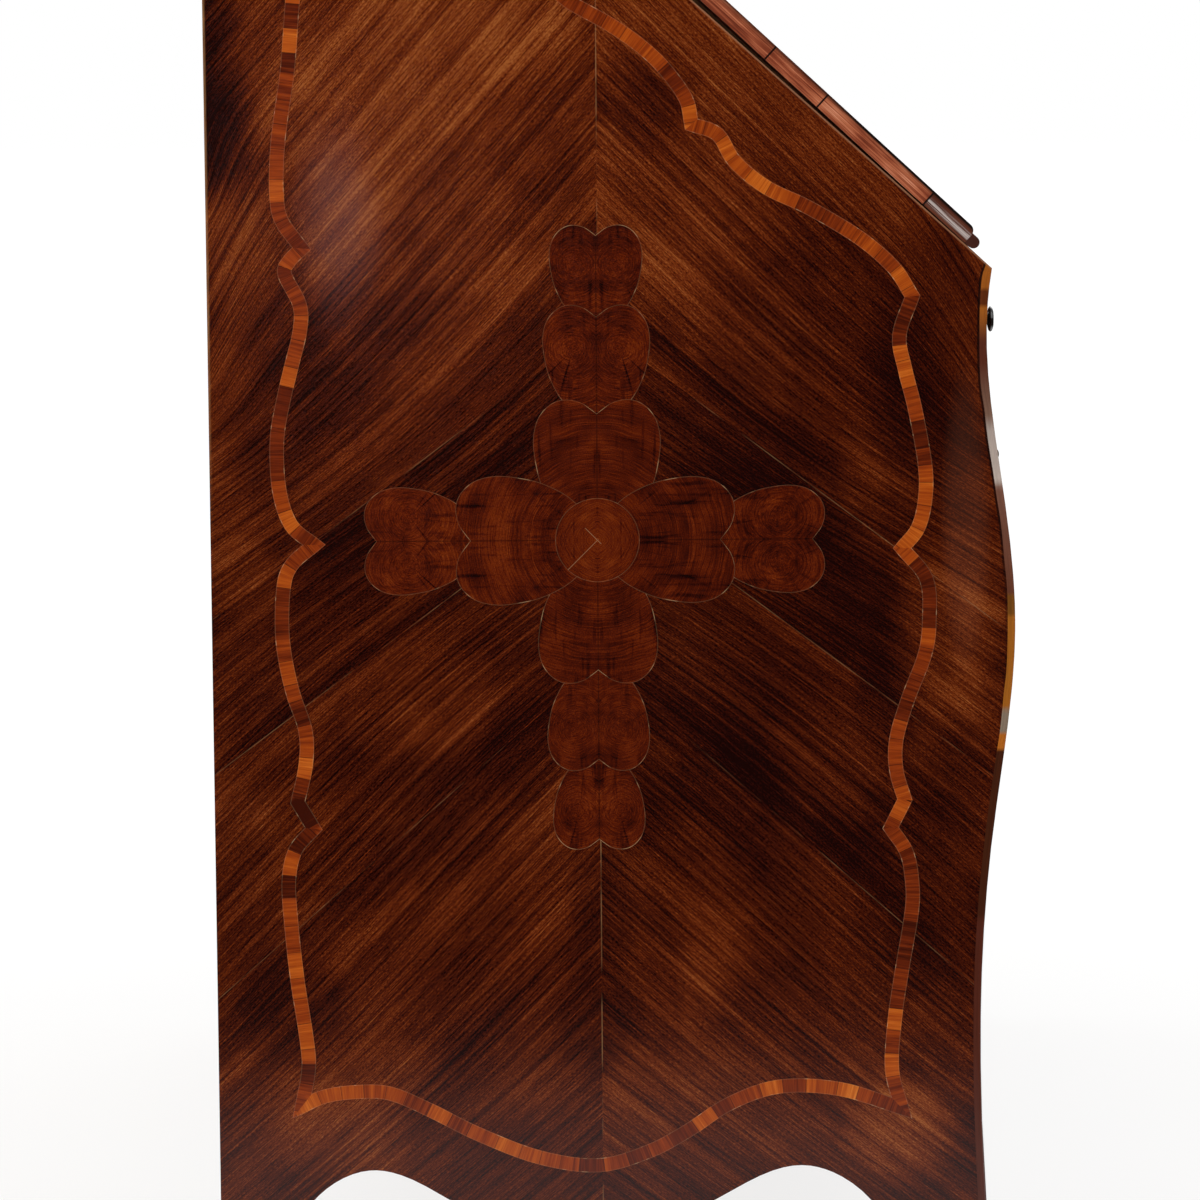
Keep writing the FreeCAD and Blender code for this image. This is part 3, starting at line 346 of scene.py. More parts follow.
# %% [markdown]
# ## The side's field
# Each side is laid in leaves that fall away from a seam down its middle, steeper near the top and the
# bottom than beside the cross. Lines of grain are where z + slope x distance from the seam is constant.
# The joints between leaves run the same way, and the leaf between the first two is darker.

# %% The side veneer, worked on the board itself
def front_edge():
    """Places on the front edge of the side board, read from the frame: for each height the least y."""
    board = nodes["side_left"].data
    places = np.empty(len(board.vertices) * 3, np.float32)
    board.vertices.foreach_get("co", places)
    places = places.reshape(-1, 3)
    heights = np.linspace(0.0, SLANT_START[1], 16)
    below = places[:, 2] < SLANT_START[1] + 0.0001
    front = places[(places[:, 0] > -INSIDE_X) & (places[:, 1] < BELLY_Y) & below]
    front = front[np.argsort(front[:, 2])]
    return heights, np.interp(heights, front[:, 2], front[:, 1])


edge_heights, edge_places = front_edge()
print("front edge", edge_places.round(4).tolist())


# How steeply the grain falls away from the seam: pairs of height and slope
GRAIN = ((0.0, 0.80), (0.17, 0.80), (0.22, 0.97), (0.36, 0.97), (0.42, 0.88), (0.47, 0.77), (0.51, 0.71),
         (0.56, 0.62), (0.61, 0.70), (0.66, 0.84), (0.71, 0.97), (0.76, 1.04), (1.10, 1.08))
GRAIN_TOP = GRAIN[-1][0]
# The joints between leaves: the slope of each, and the height where it meets the seam
LEAF_JOINTS = ((0.75, 0.716), (0.75, 0.606), (0.88, 0.481))
FINE_RELIEF = 0.00001
SIDE_GLEAM = 0.25


def grain_curve():
    """How far a line of grain runs out from the seam as it falls: height over slope, summed from the floor."""
    heights = np.linspace(0.0, GRAIN_TOP, 23)
    slopes = np.interp(heights, *zip(*GRAIN))
    run = np.concatenate([[0.0], np.cumsum(np.diff(heights) * 2 / (slopes[1:] + slopes[:-1]))])
    return [(h / GRAIN_TOP, r / run[-1]) for h, r in zip(heights, run)], run[-1]


def side_veneer():
    """Kingwood leaves in chevrons on the outer face, banding on the edges, bare wood inside."""
    f = Finish("side_veneer")
    x, y, z = f.place()
    hand = f.maths("SIGN", x)
    out = abs(y - SEAM_Y)
    behind_seam = y > SEAM_Y
    points, whole = grain_curve()
    bent = f.node("FloatCurve", {"points": points}, {1: z / GRAIN_TOP}) * whole
    fan = f.most(out - 0.20, 0.0) ** 2.0 * 6 * f.rise(z, 0.60, 0.68) * f.rise(z, 0.88, 0.80)
    across = (bent + out * (0.94 + 0.13 * behind_seam) + fan) * 0.7
    along = (out - z) * 0.7
    upper_joint, lower_joint, low_joint = [z + slope * out - height for slope, height in LEAF_JOINTS]
    leaf = (upper_joint > 0) + (lower_joint > 0) + (low_joint > 0) + 5 * behind_seam + 3 * hand + 11
    wedge = (lower_joint > 0) * (upper_joint < 0)
    patch = tone_patches(f, y, z)
    colour, figure = kingwood(f, along, across, leaf, patch - 0.13 * wedge)
    broken = f.rise(f.noise(y * 22, z * 22, 3.0, 3.0), 0.40, 0.62)
    near = f.least(f.least(abs(upper_joint), abs(lower_joint)), abs(low_joint))
    joints = f.rise(near, 0.0006, 0.0002) * 0.28 * f.rise(out, 0.06, 0.09)
    seam = f.rise(out, 0.0005, 0.0002) * 0.42
    colour = f.mix(f.most(joints, seam) * broken, colour, paint("b98a5c"))
    # Painted sheen: a soft pale oval by the front edge, where the rounded side reflects light
    painted_sheen = f.rise(((y + 0.240) / 0.020) ** 2.0 + ((z - 0.58) / 0.12) ** 2.0, 1.0, 0.0)
    colour = f.mix(painted_sheen * 0.05, colour, paint("bc8268"))
    colour = corner_banding(f, x, y, z, colour)
    bare, _ = plain_wood(f, z, y, x, WALNUT, 2.0)
    inside = abs(x) < INSIDE_X
    colour = f.mix(inside, colour, bare)
    # The polish is sharpest in one spot, where the window shows
    sharp = f.rise(((y - 0.195) / 0.040) ** 2.0 + ((z - 0.790) / 0.10) ** 2.0, 1.0, 0.0)
    rough = 0.15 - 0.09 * sharp + 0.07 * f.noise(y * 9, z * 9, 5.0, 3.0) + 0.25 * inside
    return f.polish(colour, rough, figure, FINE_RELIEF, gleam=SIDE_GLEAM)


def tone_patches(f, y, z):
    """Darker and lighter parts of the side as soft ovals, each by where it lies, its reach and its tone."""
    total = 0.0
    for across, up, wide, high, tone in TONES:
        here = ((y - (SEAM_Y - across)) / wide) ** 2.0 + ((z - up) / high) ** 2.0
        total = total + f.rise(here, 1.0, 0.0) * tone
    return total


TONES = (
    (0.13, 0.43, 0.17, 0.20, -0.20), (-0.12, 0.44, 0.13, 0.18, -0.08), (-0.262, 0.86, 0.035, 0.07, -0.40),
    (-0.268, 0.93, 0.03, 0.03, -0.25), (-0.11, 0.85, 0.17, 0.15, 0.24), (0.06, 0.83, 0.10, 0.14, 0.04),
    (0.14, 0.70, 0.11, 0.12, -0.12), (0.235, 0.68, 0.06, 0.14, -0.24), (0.24, 0.50, 0.045, 0.09, 0.32),
    (0.25, 0.31, 0.05, 0.14, -0.18), (0.035, 0.25, 0.03, 0.10, -0.12), (-0.245, 0.33, 0.05, 0.12, -0.1),
    (-0.10, 0.24, 0.12, 0.08, -0.06), (-0.15, 0.75, 0.05, 0.06, -0.18), (-0.05, 0.92, 0.06, 0.055, 0.26),
    (-0.04, 0.83, 0.04, 0.04, -0.18), (0.05, 0.295, 0.07, 0.09, 0.26), (0.085, 0.385, 0.06, 0.05, -0.16),
    (-0.18, 0.335, 0.05, 0.05, -0.16), (-0.11, 0.455, 0.05, 0.05, 0.18), (-0.235, 0.42, 0.04, 0.05, -0.14),
    (-0.25, 0.77, 0.035, 0.06, 0.22), (-0.215, 0.71, 0.045, 0.06, -0.18), (0.20, 0.27, 0.04, 0.06, -0.14),
    (-0.19, 0.59, 0.07, 0.05, -0.10), (-0.01, 0.47, 0.05, 0.06, -0.12), (-0.18, 0.80, 0.05, 0.08, 0.14),
    (0.11, 0.94, 0.05, 0.03, 0.14), (-0.215, 0.23, 0.05, 0.05, -0.20), (0.14, 0.23, 0.06, 0.05, -0.10),
    (-0.25, 0.54, 0.035, 0.035, 0.18), (0.205, 0.45, 0.035, 0.05, -0.14), (0.212, 0.145, 0.05, 0.05, 0.30),
    (-0.095, 0.80, 0.07, 0.06, -0.18), (-0.022, 0.875, 0.04, 0.05, -0.14), (-0.25, 0.892, 0.02, 0.025, 0.16),
    (-0.215, 0.368, 0.04, 0.04, 0.14), (-0.005, 0.228, 0.04, 0.05, -0.18), (-0.185, 0.145, 0.06, 0.05, 0.24),
    (0.12, 0.60, 0.08, 0.07, -0.15), (-0.13, 0.645, 0.06, 0.04, -0.13), (-0.25, 0.645, 0.03, 0.04, -0.14),
    (-0.145, 0.435, 0.04, 0.03, 0.16), (-0.055, 0.42, 0.04, 0.05, -0.15), (0.16, 0.41, 0.06, 0.06, 0.16),
    (0.08, 0.33, 0.05, 0.03, -0.12), (0.22, 0.262, 0.04, 0.04, -0.12), (-0.02, 0.19, 0.04, 0.03, -0.12),
    (-0.145, 0.19, 0.04, 0.03, 0.12), (0.245, 0.18, 0.03, 0.04, 0.08), (-0.165, 0.915, 0.05, 0.045, -0.14),
    (0.035, 0.88, 0.045, 0.05, -0.17), (-0.055, 0.752, 0.045, 0.035, 0.16), (0.035, 0.72, 0.035, 0.04, -0.12),
    (0.0, 0.30, 0.03, 0.05, -0.18), (0.27, 0.48, 0.03, 0.08, 0.14),
)


# The strip's pieces from the floor up: heights and colours, two for each piece
CORNER_TOP = 0.76
# From 0.527 up the brown lightens to pale grey pieces at 0.607 to 0.652: a painted highlight where the rounded
# edge gleams
CORNER = (
    (0.0, "552619"), (0.295, "552619"), (0.300, "46200f"), (0.417, "46200f"), (0.418, "b9671d"),
    (0.428, "b9671d"), (0.429, "8d7a68"), (0.445, "8d7a68"), (0.446, "a5611b"), (0.512, "a5611b"),
    (0.513, "7a4a17"), (0.526, "7a4a17"), (0.527, "693a28"), (0.602, "7c5242"), (0.607, "c2b1a6"),
    (0.642, "b5a399"), (0.652, "80604f"), (0.690, "5c2c1e"), (0.705, "5c2c1e"), (0.728, "ad611d"),
    (0.729, "642d10"), (0.741, "642d10"), (0.742, "a3591b"), (0.757, "a3591b"),
)


def corner_banding(f, x, y, z, colour):
    """A narrow strip down the front edge, in pieces of its own tones on the left, some pale ones a painted
    highlight, and brown on the right, a dark line inside it, and painted highlights along the back edge and the
    slant."""
    slant_y, slant_z = SLANT_START
    low, high = edge_places.min() - 0.002, edge_places.max() + 0.002
    stops = [(h / slant_z, (p - low) / (high - low)) for h, p in zip(edge_heights, edge_places)]
    share = f.node("FloatCurve", {"points": stops}, {1: z / slant_z})
    behind = y - (share * (high - low) + low)
    grain = f.noise(z * 24, (behind + abs(x)) * 900, 2.0, 4.0, 0.65)
    # Painted highlight: the ramp's pale grey pieces near 0.61 to 0.65 stand for the gleam on the rounded edge
    strip = f.grade(z / CORNER_TOP, *[(height / CORNER_TOP, code) for height, code in CORNER])
    strip = f.mix((x > 0) * 0.8, strip, paint("5c2c1e"))
    strip = f.shade(strip, 0.55 + 0.9 * grain)
    colour = f.mix(behind < 0.0055, colour, strip)
    dark = f.rise(abs(behind - 0.0062), 0.0011, 0.0006) * (abs(x) > SIDE_X - 2 * BED)
    colour = f.mix(dark * (0.15 + 0.7 * f.rise(z, 0.45, 0.60)), colour, paint("1c0a05"))
    # Painted highlight: a pale line, broken by noise, along the upper back edge where its arris catches the
    # light
    back = f.rise(y, BACK_Y - 0.0022, BACK_Y - 0.0008) * f.rise(z, 0.55, 0.75) * f.noise(z * 60, y * 900, 4.0)
    colour = f.mix(back, colour, paint("b07a4c"))
    # Painted highlight: a pale line along the slanted arris
    inward = (y - slant_y) * math.sin(CASE_SLANT) - (z - slant_z) * math.cos(CASE_SLANT)
    painted_slant_highlight = f.rise(inward, 0.0016, 0.0006) * (z > 0.75)
    return f.mix(painted_slant_highlight * 0.75, colour, paint("a3704f"))


# %% [markdown]
# ## The side boards
# A copy of each side board carries the veneer. Its outer face is set back by the bed that the band and
# hearts lie in, so the finished side stays exactly as wide as the frame says. The curved front corner is
# rounded in the frame already, and smooth shading keeps it round between the sharper edges.

# %% Lay the side boards
def side_board(hand, name, finish):
    """A merged copy of the CAD side: points at the outer face move in by the bed, gentle corners look round."""
    source = nodes["side_" + name]
    mesh = source.data.copy()
    shape = bmesh.new()
    shape.from_mesh(mesh)
    bmesh.ops.remove_doubles(shape, verts=shape.verts, dist=0.00001)
    bmesh.ops.dissolve_limit(shape, angle_limit=math.radians(1.0), verts=shape.verts, edges=shape.edges)
    for corner in shape.verts:
        if abs(corner.co.x) > SIDE_X - BED:
            corner.co.x = hand * (SIDE_X - BED)
    shape.to_mesh(mesh)
    shape.free()
    mesh.shade_smooth()
    mesh.set_sharp_from_angle(angle=math.radians(24))
    board = placed("side_board_" + name, mesh)
    mesh.materials.clear()
    mesh.materials.append(finish)
    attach(board, "case")
    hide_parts("side_" + name)
    return board


veneer = side_veneer()
for hand, name in HANDS:
    board = side_board(hand, name, veneer)
    print(board.name, len(board.data.polygons))

# %% [markdown]
# ## Thin plates
# Band and hearts are real pieces of veneer, so each is a thin closed plate. A plate is a grid of points, the
# same grid a little lower, and a wall round the edge. A heart's grid is a ring that shrinks to one point.

# %% Make a plate from a grid
def plate(name, grids, lift, finish, body, closed=False):
    """One piece from several grids. Each grid is (points, layout, marks): rows x columns of places, the two
    coordinates of its figure, and the numbers it carries, such as how far its edge or seam is, and its tone."""
    points, faces, layouts, marks = [], [], [], {}
    start = 0
    for top, layout, carried in grids:
        rows, columns = top.shape[:2]
        index = np.arange(rows * columns).reshape(rows, columns) + start
        under = index + rows * columns
        points += [top.reshape(-1, 3), (top - lift).reshape(-1, 3)]
        layouts += [layout.reshape(-1, 2)] * 2
        for key, numbers in carried.items():
            marks.setdefault(key, []).extend([np.broadcast_to(numbers, (rows, columns)).ravel()] * 2)
        for sheet, turn in ((index, 1), (under, -1)):
            quads = np.stack([sheet[:-1, :-1], sheet[1:, :-1], sheet[1:, 1:], sheet[:-1, 1:]], axis=-1)
            faces.append(quads.reshape(-1, 4)[:, ::turn])
        rims = [(index[-1], under[-1])]
        if not closed:
            rims += [(under[0], index[0]), (under[:, -1], index[:, -1]), (index[:, 0], under[:, 0])]
        for upper, lower in rims:
            faces.append(np.stack([upper[:-1], lower[:-1], lower[1:], upper[1:]], axis=-1))
        start += 2 * rows * columns
    points, faces = np.concatenate(points), np.concatenate(faces)
    layouts = np.concatenate(layouts)
    mesh = bpy.data.meshes.new(name)
    mesh.from_pydata(points.tolist(), [], faces.tolist())
    figure = mesh.uv_layers.new(name="figure")
    figure.data.foreach_set("uv", layouts[faces.ravel()].ravel())
    for key, numbers in marks.items():
        mark = mesh.attributes.new(key, "FLOAT", "POINT")
        mark.data.foreach_set("value", np.concatenate(numbers))
    shape = bmesh.new()
    shape.from_mesh(mesh)
    bmesh.ops.remove_doubles(shape, verts=shape.verts, dist=0.000005)
    bmesh.ops.recalc_face_normals(shape, faces=shape.faces)
    shape.to_mesh(mesh)
    shape.free()
    mesh.materials.append(finish)
    piece = placed(name, mesh)
    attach(piece, body)
    return piece


def smooth(points, parts=6):
    """A curve through the points, each span a cubic whose ends point along the neighbours' chord."""
    points = np.asarray(points, float)
    padded = np.concatenate([2 * points[:1] - points[1:2], points, 2 * points[-1:] - points[-2:-1]])
    before, start, end, after = padded[:-3], padded[1:-2], padded[2:-1], padded[3:]
    t = (np.arange(parts) / parts)[:, None, None]
    cubic = start + 0.5 * t * (end - before) + t**2 * (before - 2.5 * start + 2 * end - 0.5 * after)
    cubic = cubic + t**3 * (1.5 * (start - end) + 0.5 * (after - before))
    return np.concatenate([cubic.transpose(1, 0, 2).reshape(-1, 2), points[-1:]])


# %% [markdown]
# ## The band
# A tulipwood band runs round the side in bracketed curves that meet in mitred tips. Its blocks are cut
# across the grain. Each run is a curve through a few points, widened to both sides, and its ends are cut on
# the line halfway between the two runs that meet there. The figure starts afresh on each run.

# %% Lay the band
def banding():
    """Tulipwood blocks along the piece's own length, with thin pale edges that are broken here and there."""
    f = Finish("tulipwood_band")
    u, v = f.layout("figure")
    colour, figure = tulipwood(f, u, v, 0.0, 0.017, f.mark("tone"))
    near = f.mark("edge")
    broken = f.rise(f.noise(u * 140, v * 40, 1.0, 3.0), 0.56, 0.66)
    colour = f.mix(f.rise(near, 0.0006, 0.0003) * (0.1 + 0.4 * broken), colour, paint("d9b083"))
    rough = 0.15 + 0.07 * f.noise(u * 60, v * 60, 5.0, 3.0)
    return f.polish(colour, rough, figure, FINE_RELIEF, gleam=SIDE_GLEAM)


# The band's runs, each from tip to tip, as points in millimetres across and up
RUNS = (
    ((-23, 420), (-52, 436), (-92, 443), (-134, 438), (-170, 441), (-206, 455)),
    ((-206, 455), (-206, 440), (-209, 418), (-213, 372), (-218, 339), (-221, 315), (-222, 287), (-219, 267),
     (-205, 247)),
    ((-205, 247), (-214, 238), (-217, 229), (-207, 208), (-207, 190), (-213, 166), (-219, 142), (-224, 114),
     (-223, 79), (-215, 54), (-199, 40)),
    ((-199, 40), (-215, 26), (-221, 9), (-222, -27), (-216, -62), (-207, -91), (-207, -115), (-213, -142)),
    ((-213, -142), (-202, -161)),
    ((-202, -161), (-215, -176), (-220, -197), (-219, -226), (-215, -269), (-209, -312), (-208, -334),
     (-213, -360)),
    ((-213, -360), (-197, -353), (-176, -350), (-151, -351), (-123, -363), (-88, -381), (-45, -398),
     (-3, -404), (33, -394), (61, -379), (90, -360), (125, -348), (168, -350), (212, -364)),
    ((212, -364), (205, -336), (207, -300), (212, -265), (219, -222), (219, -200), (215, -180), (204, -163)),
    ((204, -163), (214, -143)),
    ((214, -143), (208, -122), (208, -100), (216, -72), (228, -40), (231, -16), (229, 13), (212, 35)),
    ((212, 35), (223, 49), (228, 69), (228, 93), (221, 132), (214, 160), (210, 184), (219, 211)),
    ((219, 211), (206, 231), (182, 252), (147, 273), (118, 287), (96, 305), (84, 324), (66, 331)),
    ((66, 331), (62, 349), (47, 370), (30, 386), (10, 400), (-15, 414), (-23, 420)),
)
# How much lighter or darker each run is
RUN_TONES = (0.05, 0.05, 0.0, 0.0, -0.30, -0.05, 0.05, 0.0, 0.05, -0.05, -0.02, 0.05, 0.12)
# In millimetres: how far from its tip a run is mitred, how far it is laid past the tip, and the step in the
# figure from one run to the next
MITRE_REACH = 16
OVERLONG = 11
NEXT_LENGTH = 40


def unit(vectors):
    return vectors / np.linalg.norm(vectors, axis=-1, keepdims=True)


def trimmed(flat, end, way, other):
    """Points past the mitre at a run's end slide back along the run until they lie on it."""
    line = unit(np.array([-way[1], way[0]]) + np.array([-other[1], other[0]]))
    square = np.array([line[1], -line[0]])
    square = square * np.sign(square @ way)
    past = (flat - end) @ square
    near = np.linalg.norm(flat - end, axis=-1) < MITRE_REACH
    return flat - (np.maximum(past, 0) * near / (square @ way))[..., None] * way


def band_grids(hand):
    """Each run's grid: its curve, a little overlong, stepped half the width to each side, then trimmed to the
    mitre, which lies halfway between the two runs that meet."""
    curves = [smooth(run) for run in RUNS]
    firsts = [unit(curve[1] - curve[0]) for curve in curves]
    lasts = [unit(curve[-1] - curve[-2]) for curve in curves]
    half = BAND_WIDTH / 2 / MILLIMETRE
    share = np.array([-1.0, -0.85, 0.0, 0.85, 1.0])
    grids, length = [], 0.0
    for i, curve in enumerate(curves):
        ends = [curve[0] - OVERLONG * firsts[i]], [curve[-1] + OVERLONG * lasts[i]]
        curve = np.concatenate([ends[0], curve, ends[1]])
        way = unit(np.gradient(curve, axis=0))
        beside = np.stack([-way[:, 1], way[:, 0]], axis=1)
        flat = curve[:, None] + beside[:, None] * share[None, :, None] * half
        flat = trimmed(flat, curves[i][0], -firsts[i], -lasts[i - 1])
        flat = trimmed(flat, curves[i][-1], lasts[i], firsts[(i + 1) % len(curves)])
        steps = np.concatenate([[0.0], np.cumsum(np.linalg.norm(np.diff(curve, axis=0), axis=1))])
        run_on = np.einsum("ik,ijk->ij", way, flat - curve[:, None])
        across = np.broadcast_to(share * half, run_on.shape)
        layout = np.stack([steps[:, None] + length + run_on, across], axis=2)
        edge = np.broadcast_to((1 - np.abs(share)) * half, run_on.shape)
        places = on_side(flat, hand, 0)
        grids.append((places, layout * MILLIMETRE, {"edge": edge * MILLIMETRE, "tone": RUN_TONES[i]}))
        length += steps[-1] + NEXT_LENGTH
    return grids


band_finish = banding()
for hand, name in HANDS:
    inward = np.array([hand * PLATE, 0, 0])
    band = plate("side_band_" + name, band_grids(hand), inward, band_finish, "case")
    print(band.name, len(band.data.polygons))

# %% [markdown]
# ## The hearts
# A cross of hearts is cut from slices across small logs, so each shows rings round its heart and dark
# cracks from the middle out. The hearts of an arm overlap towards the middle, and a round lies over
# them all. A heart is half an outline through a few points, mirrored, and rings of it shrinking inwards.

# %% Lay the cross
# Half a heart, from its point round to its notch, as shares of its width and height
HEART = ((0.0, 0.0), (0.14, 0.10), (0.27, 0.195), (0.36, 0.29), (0.435, 0.42), (0.475, 0.54), (0.5, 0.71),
         (0.475, 0.845), (0.41, 0.935), (0.32, 0.988), (0.22, 1.0), (0.12, 0.978), (0.045, 0.935), (0.0, 0.905))
CROSS = (-1.0, 42.0)
HEART_TALL = 1.17
HEART_MIDDLE = np.array([0.0, 0.62])
ROUND_RADIUS = 29.5
# Each arm's way out from the crossing, and the width and far end of its hearts from the tip inwards
ARMS = (
    ((0, 1), ((65, 220), (75, 164.5), (89, 98.5))),
    ((0, -1), ((65, 219), (72, 163), (84, 101))),
    ((-1, 0), ((76, 163), (91, 99))),
    ((1, 0), ((76, 159), (89, 96))),
)


def oyster():
    """Rings round the pith, cracks out from it, dark streaks, and a thin pale line round the edge."""
    f = Finish("oyster_hearts")
    u, v = f.layout("figure")
    warp = f.noise(u * 26, v * 26, 2.0, 3.0) * 0.010
    far = f.maths("SQRT", u * u + v * v) + warp
    turn = f.maths("ARCTAN2", u, v)
    leaf = f.mark("leaf")
    rings = f.noise(far * 1500, turn * 2.5, leaf, 2.0, 0.6)
    broad = f.noise(far * 120, turn, leaf + 8, 3.0)
    cracks = f.rise(f.noise(turn * 9, far * 12, leaf * 2, 3.0), 0.38, 0.22)
    streaks = f.rise(f.noise(u * 230, v * 26, leaf * 3 + 6, 3.0), 0.46, 0.26) * f.rise(far, 0.012, 0.03)
    cloud = f.noise(u * 50, v * 50, leaf + 7, 3.0)
    speck = f.noise(u * 1300, v * 1300, leaf, 2.0)
    figure = rings * 0.9 + broad * 0.35 + cloud * 0.6 + speck * 0.6 - 0.76 - 0.34 * cracks - 0.26 * streaks
    figure = figure + f.mark("tone")
    colour = f.grade(figure, (0.06, "1c0200"), (0.28, "360800"), (0.50, "561601"), (0.70, "712603"),
                     (0.95, "904212"))
    seam = f.rise(f.mark("seam"), 0.0007, 0.0002)
    colour = f.mix(seam * 0.5, colour, paint("1a0401"))
    colour = f.mix(f.rise(f.mark("line"), 0.0005, 0.0001) * 0.35, colour, paint("c9a075"))
    near = f.mark("edge")
    broken = 0.12 + 0.5 * f.rise(f.noise(u * 70, v * 70, 4.0, 3.0), 0.50, 0.66)
    colour = f.mix(f.rise(near, 0.0006, 0.0002) * broken, colour, paint("c9a075"))
    rough = 0.15 + 0.07 * f.noise(u * 60, v * 60, 5.0, 3.0)
    return f.polish(colour, rough, figure, FINE_RELIEF, gleam=SIDE_GLEAM)


def heart_grid(hand, way, width, far_end, depth, inner, leaf):
    """One heart: its outline from the shares, rings of it shrinking to a point, and its figure's pith."""
    half = smooth(HEART)
    outline = np.concatenate([half, half[-2:0:-1] * [-1, 1], half[:1]])
    tall = width * HEART_TALL
    middle = HEART_MIDDLE
    shares = np.array([0.0, 0.35, 0.7, 0.9, 0.97, 1.0])[:, None, None]
    local = (middle + (outline - middle) * shares) * [width, tall] + [0, far_end - tall]
    along = np.array(way, float)
    beside = np.array([along[1], -along[0]])
    flat = np.array(CROSS) + local[..., :1] * beside + local[..., 1:] * along
    pith = [0.0, 0.0] if inner else [0.22 * width, far_end - 0.36 * tall]
    layout = np.stack([np.abs(local[..., 0]) - pith[0], local[..., 1] - pith[1]], axis=2)
    edge = (1 - shares[..., 0]) * np.linalg.norm((outline - middle) * [width, tall], axis=1)
    places = on_side(flat, hand, depth)
    marks = {"edge": edge * MILLIMETRE, "seam": np.abs(local[..., 0]) * MILLIMETRE}
    marks.update({"tone": 0.0 if along[1] else 0.01 - 0.04 * along[0], "leaf": leaf, "line": 1.0})
    return places, layout * MILLIMETRE, marks


def round_grid(hand, radius, depth):
    """The round at the crossing: circles shrinking to a point, its figure mirrored in four quarters."""
    turn = np.linspace(0, 2 * math.pi, 97)
    shares = np.array([0.0, 0.05, 0.12, 0.25, 0.4, 0.6, 0.8, 0.94, 1.0])[:, None]
    local = np.stack([shares * np.cos(turn), shares * np.sin(turn)], axis=2) * radius
    flat = np.array(CROSS) + local
    layout = np.abs(local) + 6
    edge = (1 - shares) * radius * np.ones_like(turn)
    places = on_side(flat, hand, depth)
    falling = np.abs(local[..., 0] - local[..., 1]) + 3 * (local[..., 1] > 1)
    rising = np.abs(local[..., 0] + local[..., 1]) + 3 * (np.abs(local[..., 0] + 4) > 7)
    line = np.minimum(falling, rising)
    marks = {"edge": edge * MILLIMETRE, "seam": 1.0, "tone": 0.12, "leaf": 2.0, "line": line * MILLIMETRE}
    return places, layout * MILLIMETRE, marks


heart_finish = oyster()
for hand, name in HANDS:
    inward = np.array([hand * PLATE, 0, 0])
    grids = []
    for arm, (way, hearts) in enumerate(ARMS):
        for order, (width, far_end) in enumerate(reversed(hearts)):
            depth = BED * (0.18 + 0.26 * order + 0.06 * (3 - arm))
            grids.append(heart_grid(hand, way, width, far_end, depth, order == 0, 1.7 * order + 5.3 * arm))
    grids.append(round_grid(hand, ROUND_RADIUS, 0.0))
    cross = plate("heart_cross_" + name, grids, inward, heart_finish, "case", True)
    print(cross.name, len(cross.data.polygons))

# %% [markdown]
# ## Fronts, fall and top
# The flat faces are laid the same way: kingwood in four matched quarters, a tulipwood band set in from the
# edge, and a margin whose grain runs square to the edge. How near a point is to the edge of its board gives
# all three, and the corners mitre by themselves where two edges are equally near.

# %% Panels with a band
FACE_RELIEF = 0.00003
FACE_GLEAM = 0.22
MARGIN = 0.03
DRAWER_MARGIN = 0.022
FRIEZE_MARGIN, FRIEZE_BAND = 0.005, 0.006
FRONT_THICK = 0.006


def panel(f, across, up, middle, half, inset, band_width=BAND_WIDTH, row=2.0, quartered=1.0):
    """Quartered kingwood, a band and a cross-grained margin over one rectangle."""
    right, rise = across - middle[0], up - middle[1]
    side, end = half[0] - abs(right), half[1] - abs(rise)
    near = f.least(side, end)
    upright = side < end
    run = f.blend(upright, across, up)
    grain_along = abs(right) * 0.92 + abs(rise) * 0.4
    grain_across = abs(rise) * 0.92 - abs(right) * 0.4
    field, figure = kingwood(f, grain_along, grain_across, row)
    margin, _ = kingwood(f, near, run, upright * 2 + row + 3, 0.02)
    band, band_figure = tulipwood(f, run, near, row)
    in_margin = near < inset
    in_band = (near > inset) * (near < inset + band_width)
    colour = f.mix(in_margin, field, margin)
    colour = f.mix(in_band, colour, band)
    line = f.rise(f.least(abs(near - inset), abs(near - inset - band_width)), 0.0006, 0.0002)
    seam = f.rise(f.least(abs(right), abs(rise)), 0.0005, 0.0001) * (near > inset + band_width)
    broken = f.rise(f.noise(across * 60, up * 60, 1.0), 0.42, 0.56)
    colour = f.mix(f.most(line, seam * 0.6 * quartered) * broken * 0.5, colour, paint("c99b6b"))
    return colour, f.blend(in_band, figure, band_figure)


def wear(f, x, y, z, base=0.20):
    """Roughness that rises in soft clouds where polish is thin."""
    return base + 0.18 * f.noise(x * 8, y * 8, z * 8, 3.0)


def rectangle(name, second):
    """The middle and half sizes of a board's face, over x and the second coordinate, and its far corner."""
    low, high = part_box(name)
    ends = np.array([[low.x, low[second]], [high.x, high[second]]])
    return ends.mean(axis=0).tolist(), (np.diff(ends, axis=0)[0] / 2).tolist(), high


def front_finish(name, inset, band_width, quartered):
    """A drawer front: a panel on its face, margin wood on its edges, plain wood behind."""
    middle, half, high = rectangle(name, 2)
    f = Finish("veneer_" + name)
    x, y, z = f.place()
    colour, figure = panel(f, x, z, middle, half, inset, band_width, middle[1] * 37 + middle[0] * 9, quartered)
    bare, _ = plain_wood(f, x, z, y, WALNUT, 1.0)
    behind = y > high.y - FRONT_THICK
    colour = f.mix(behind, colour, bare)
    return f.polish(colour, wear(f, x, y, z), figure, FACE_RELIEF, gleam=FACE_GLEAM)


def dress(name, material):
    """Gives a CAD node its finish."""
    for slot in nodes[name].material_slots:
        slot.material = material


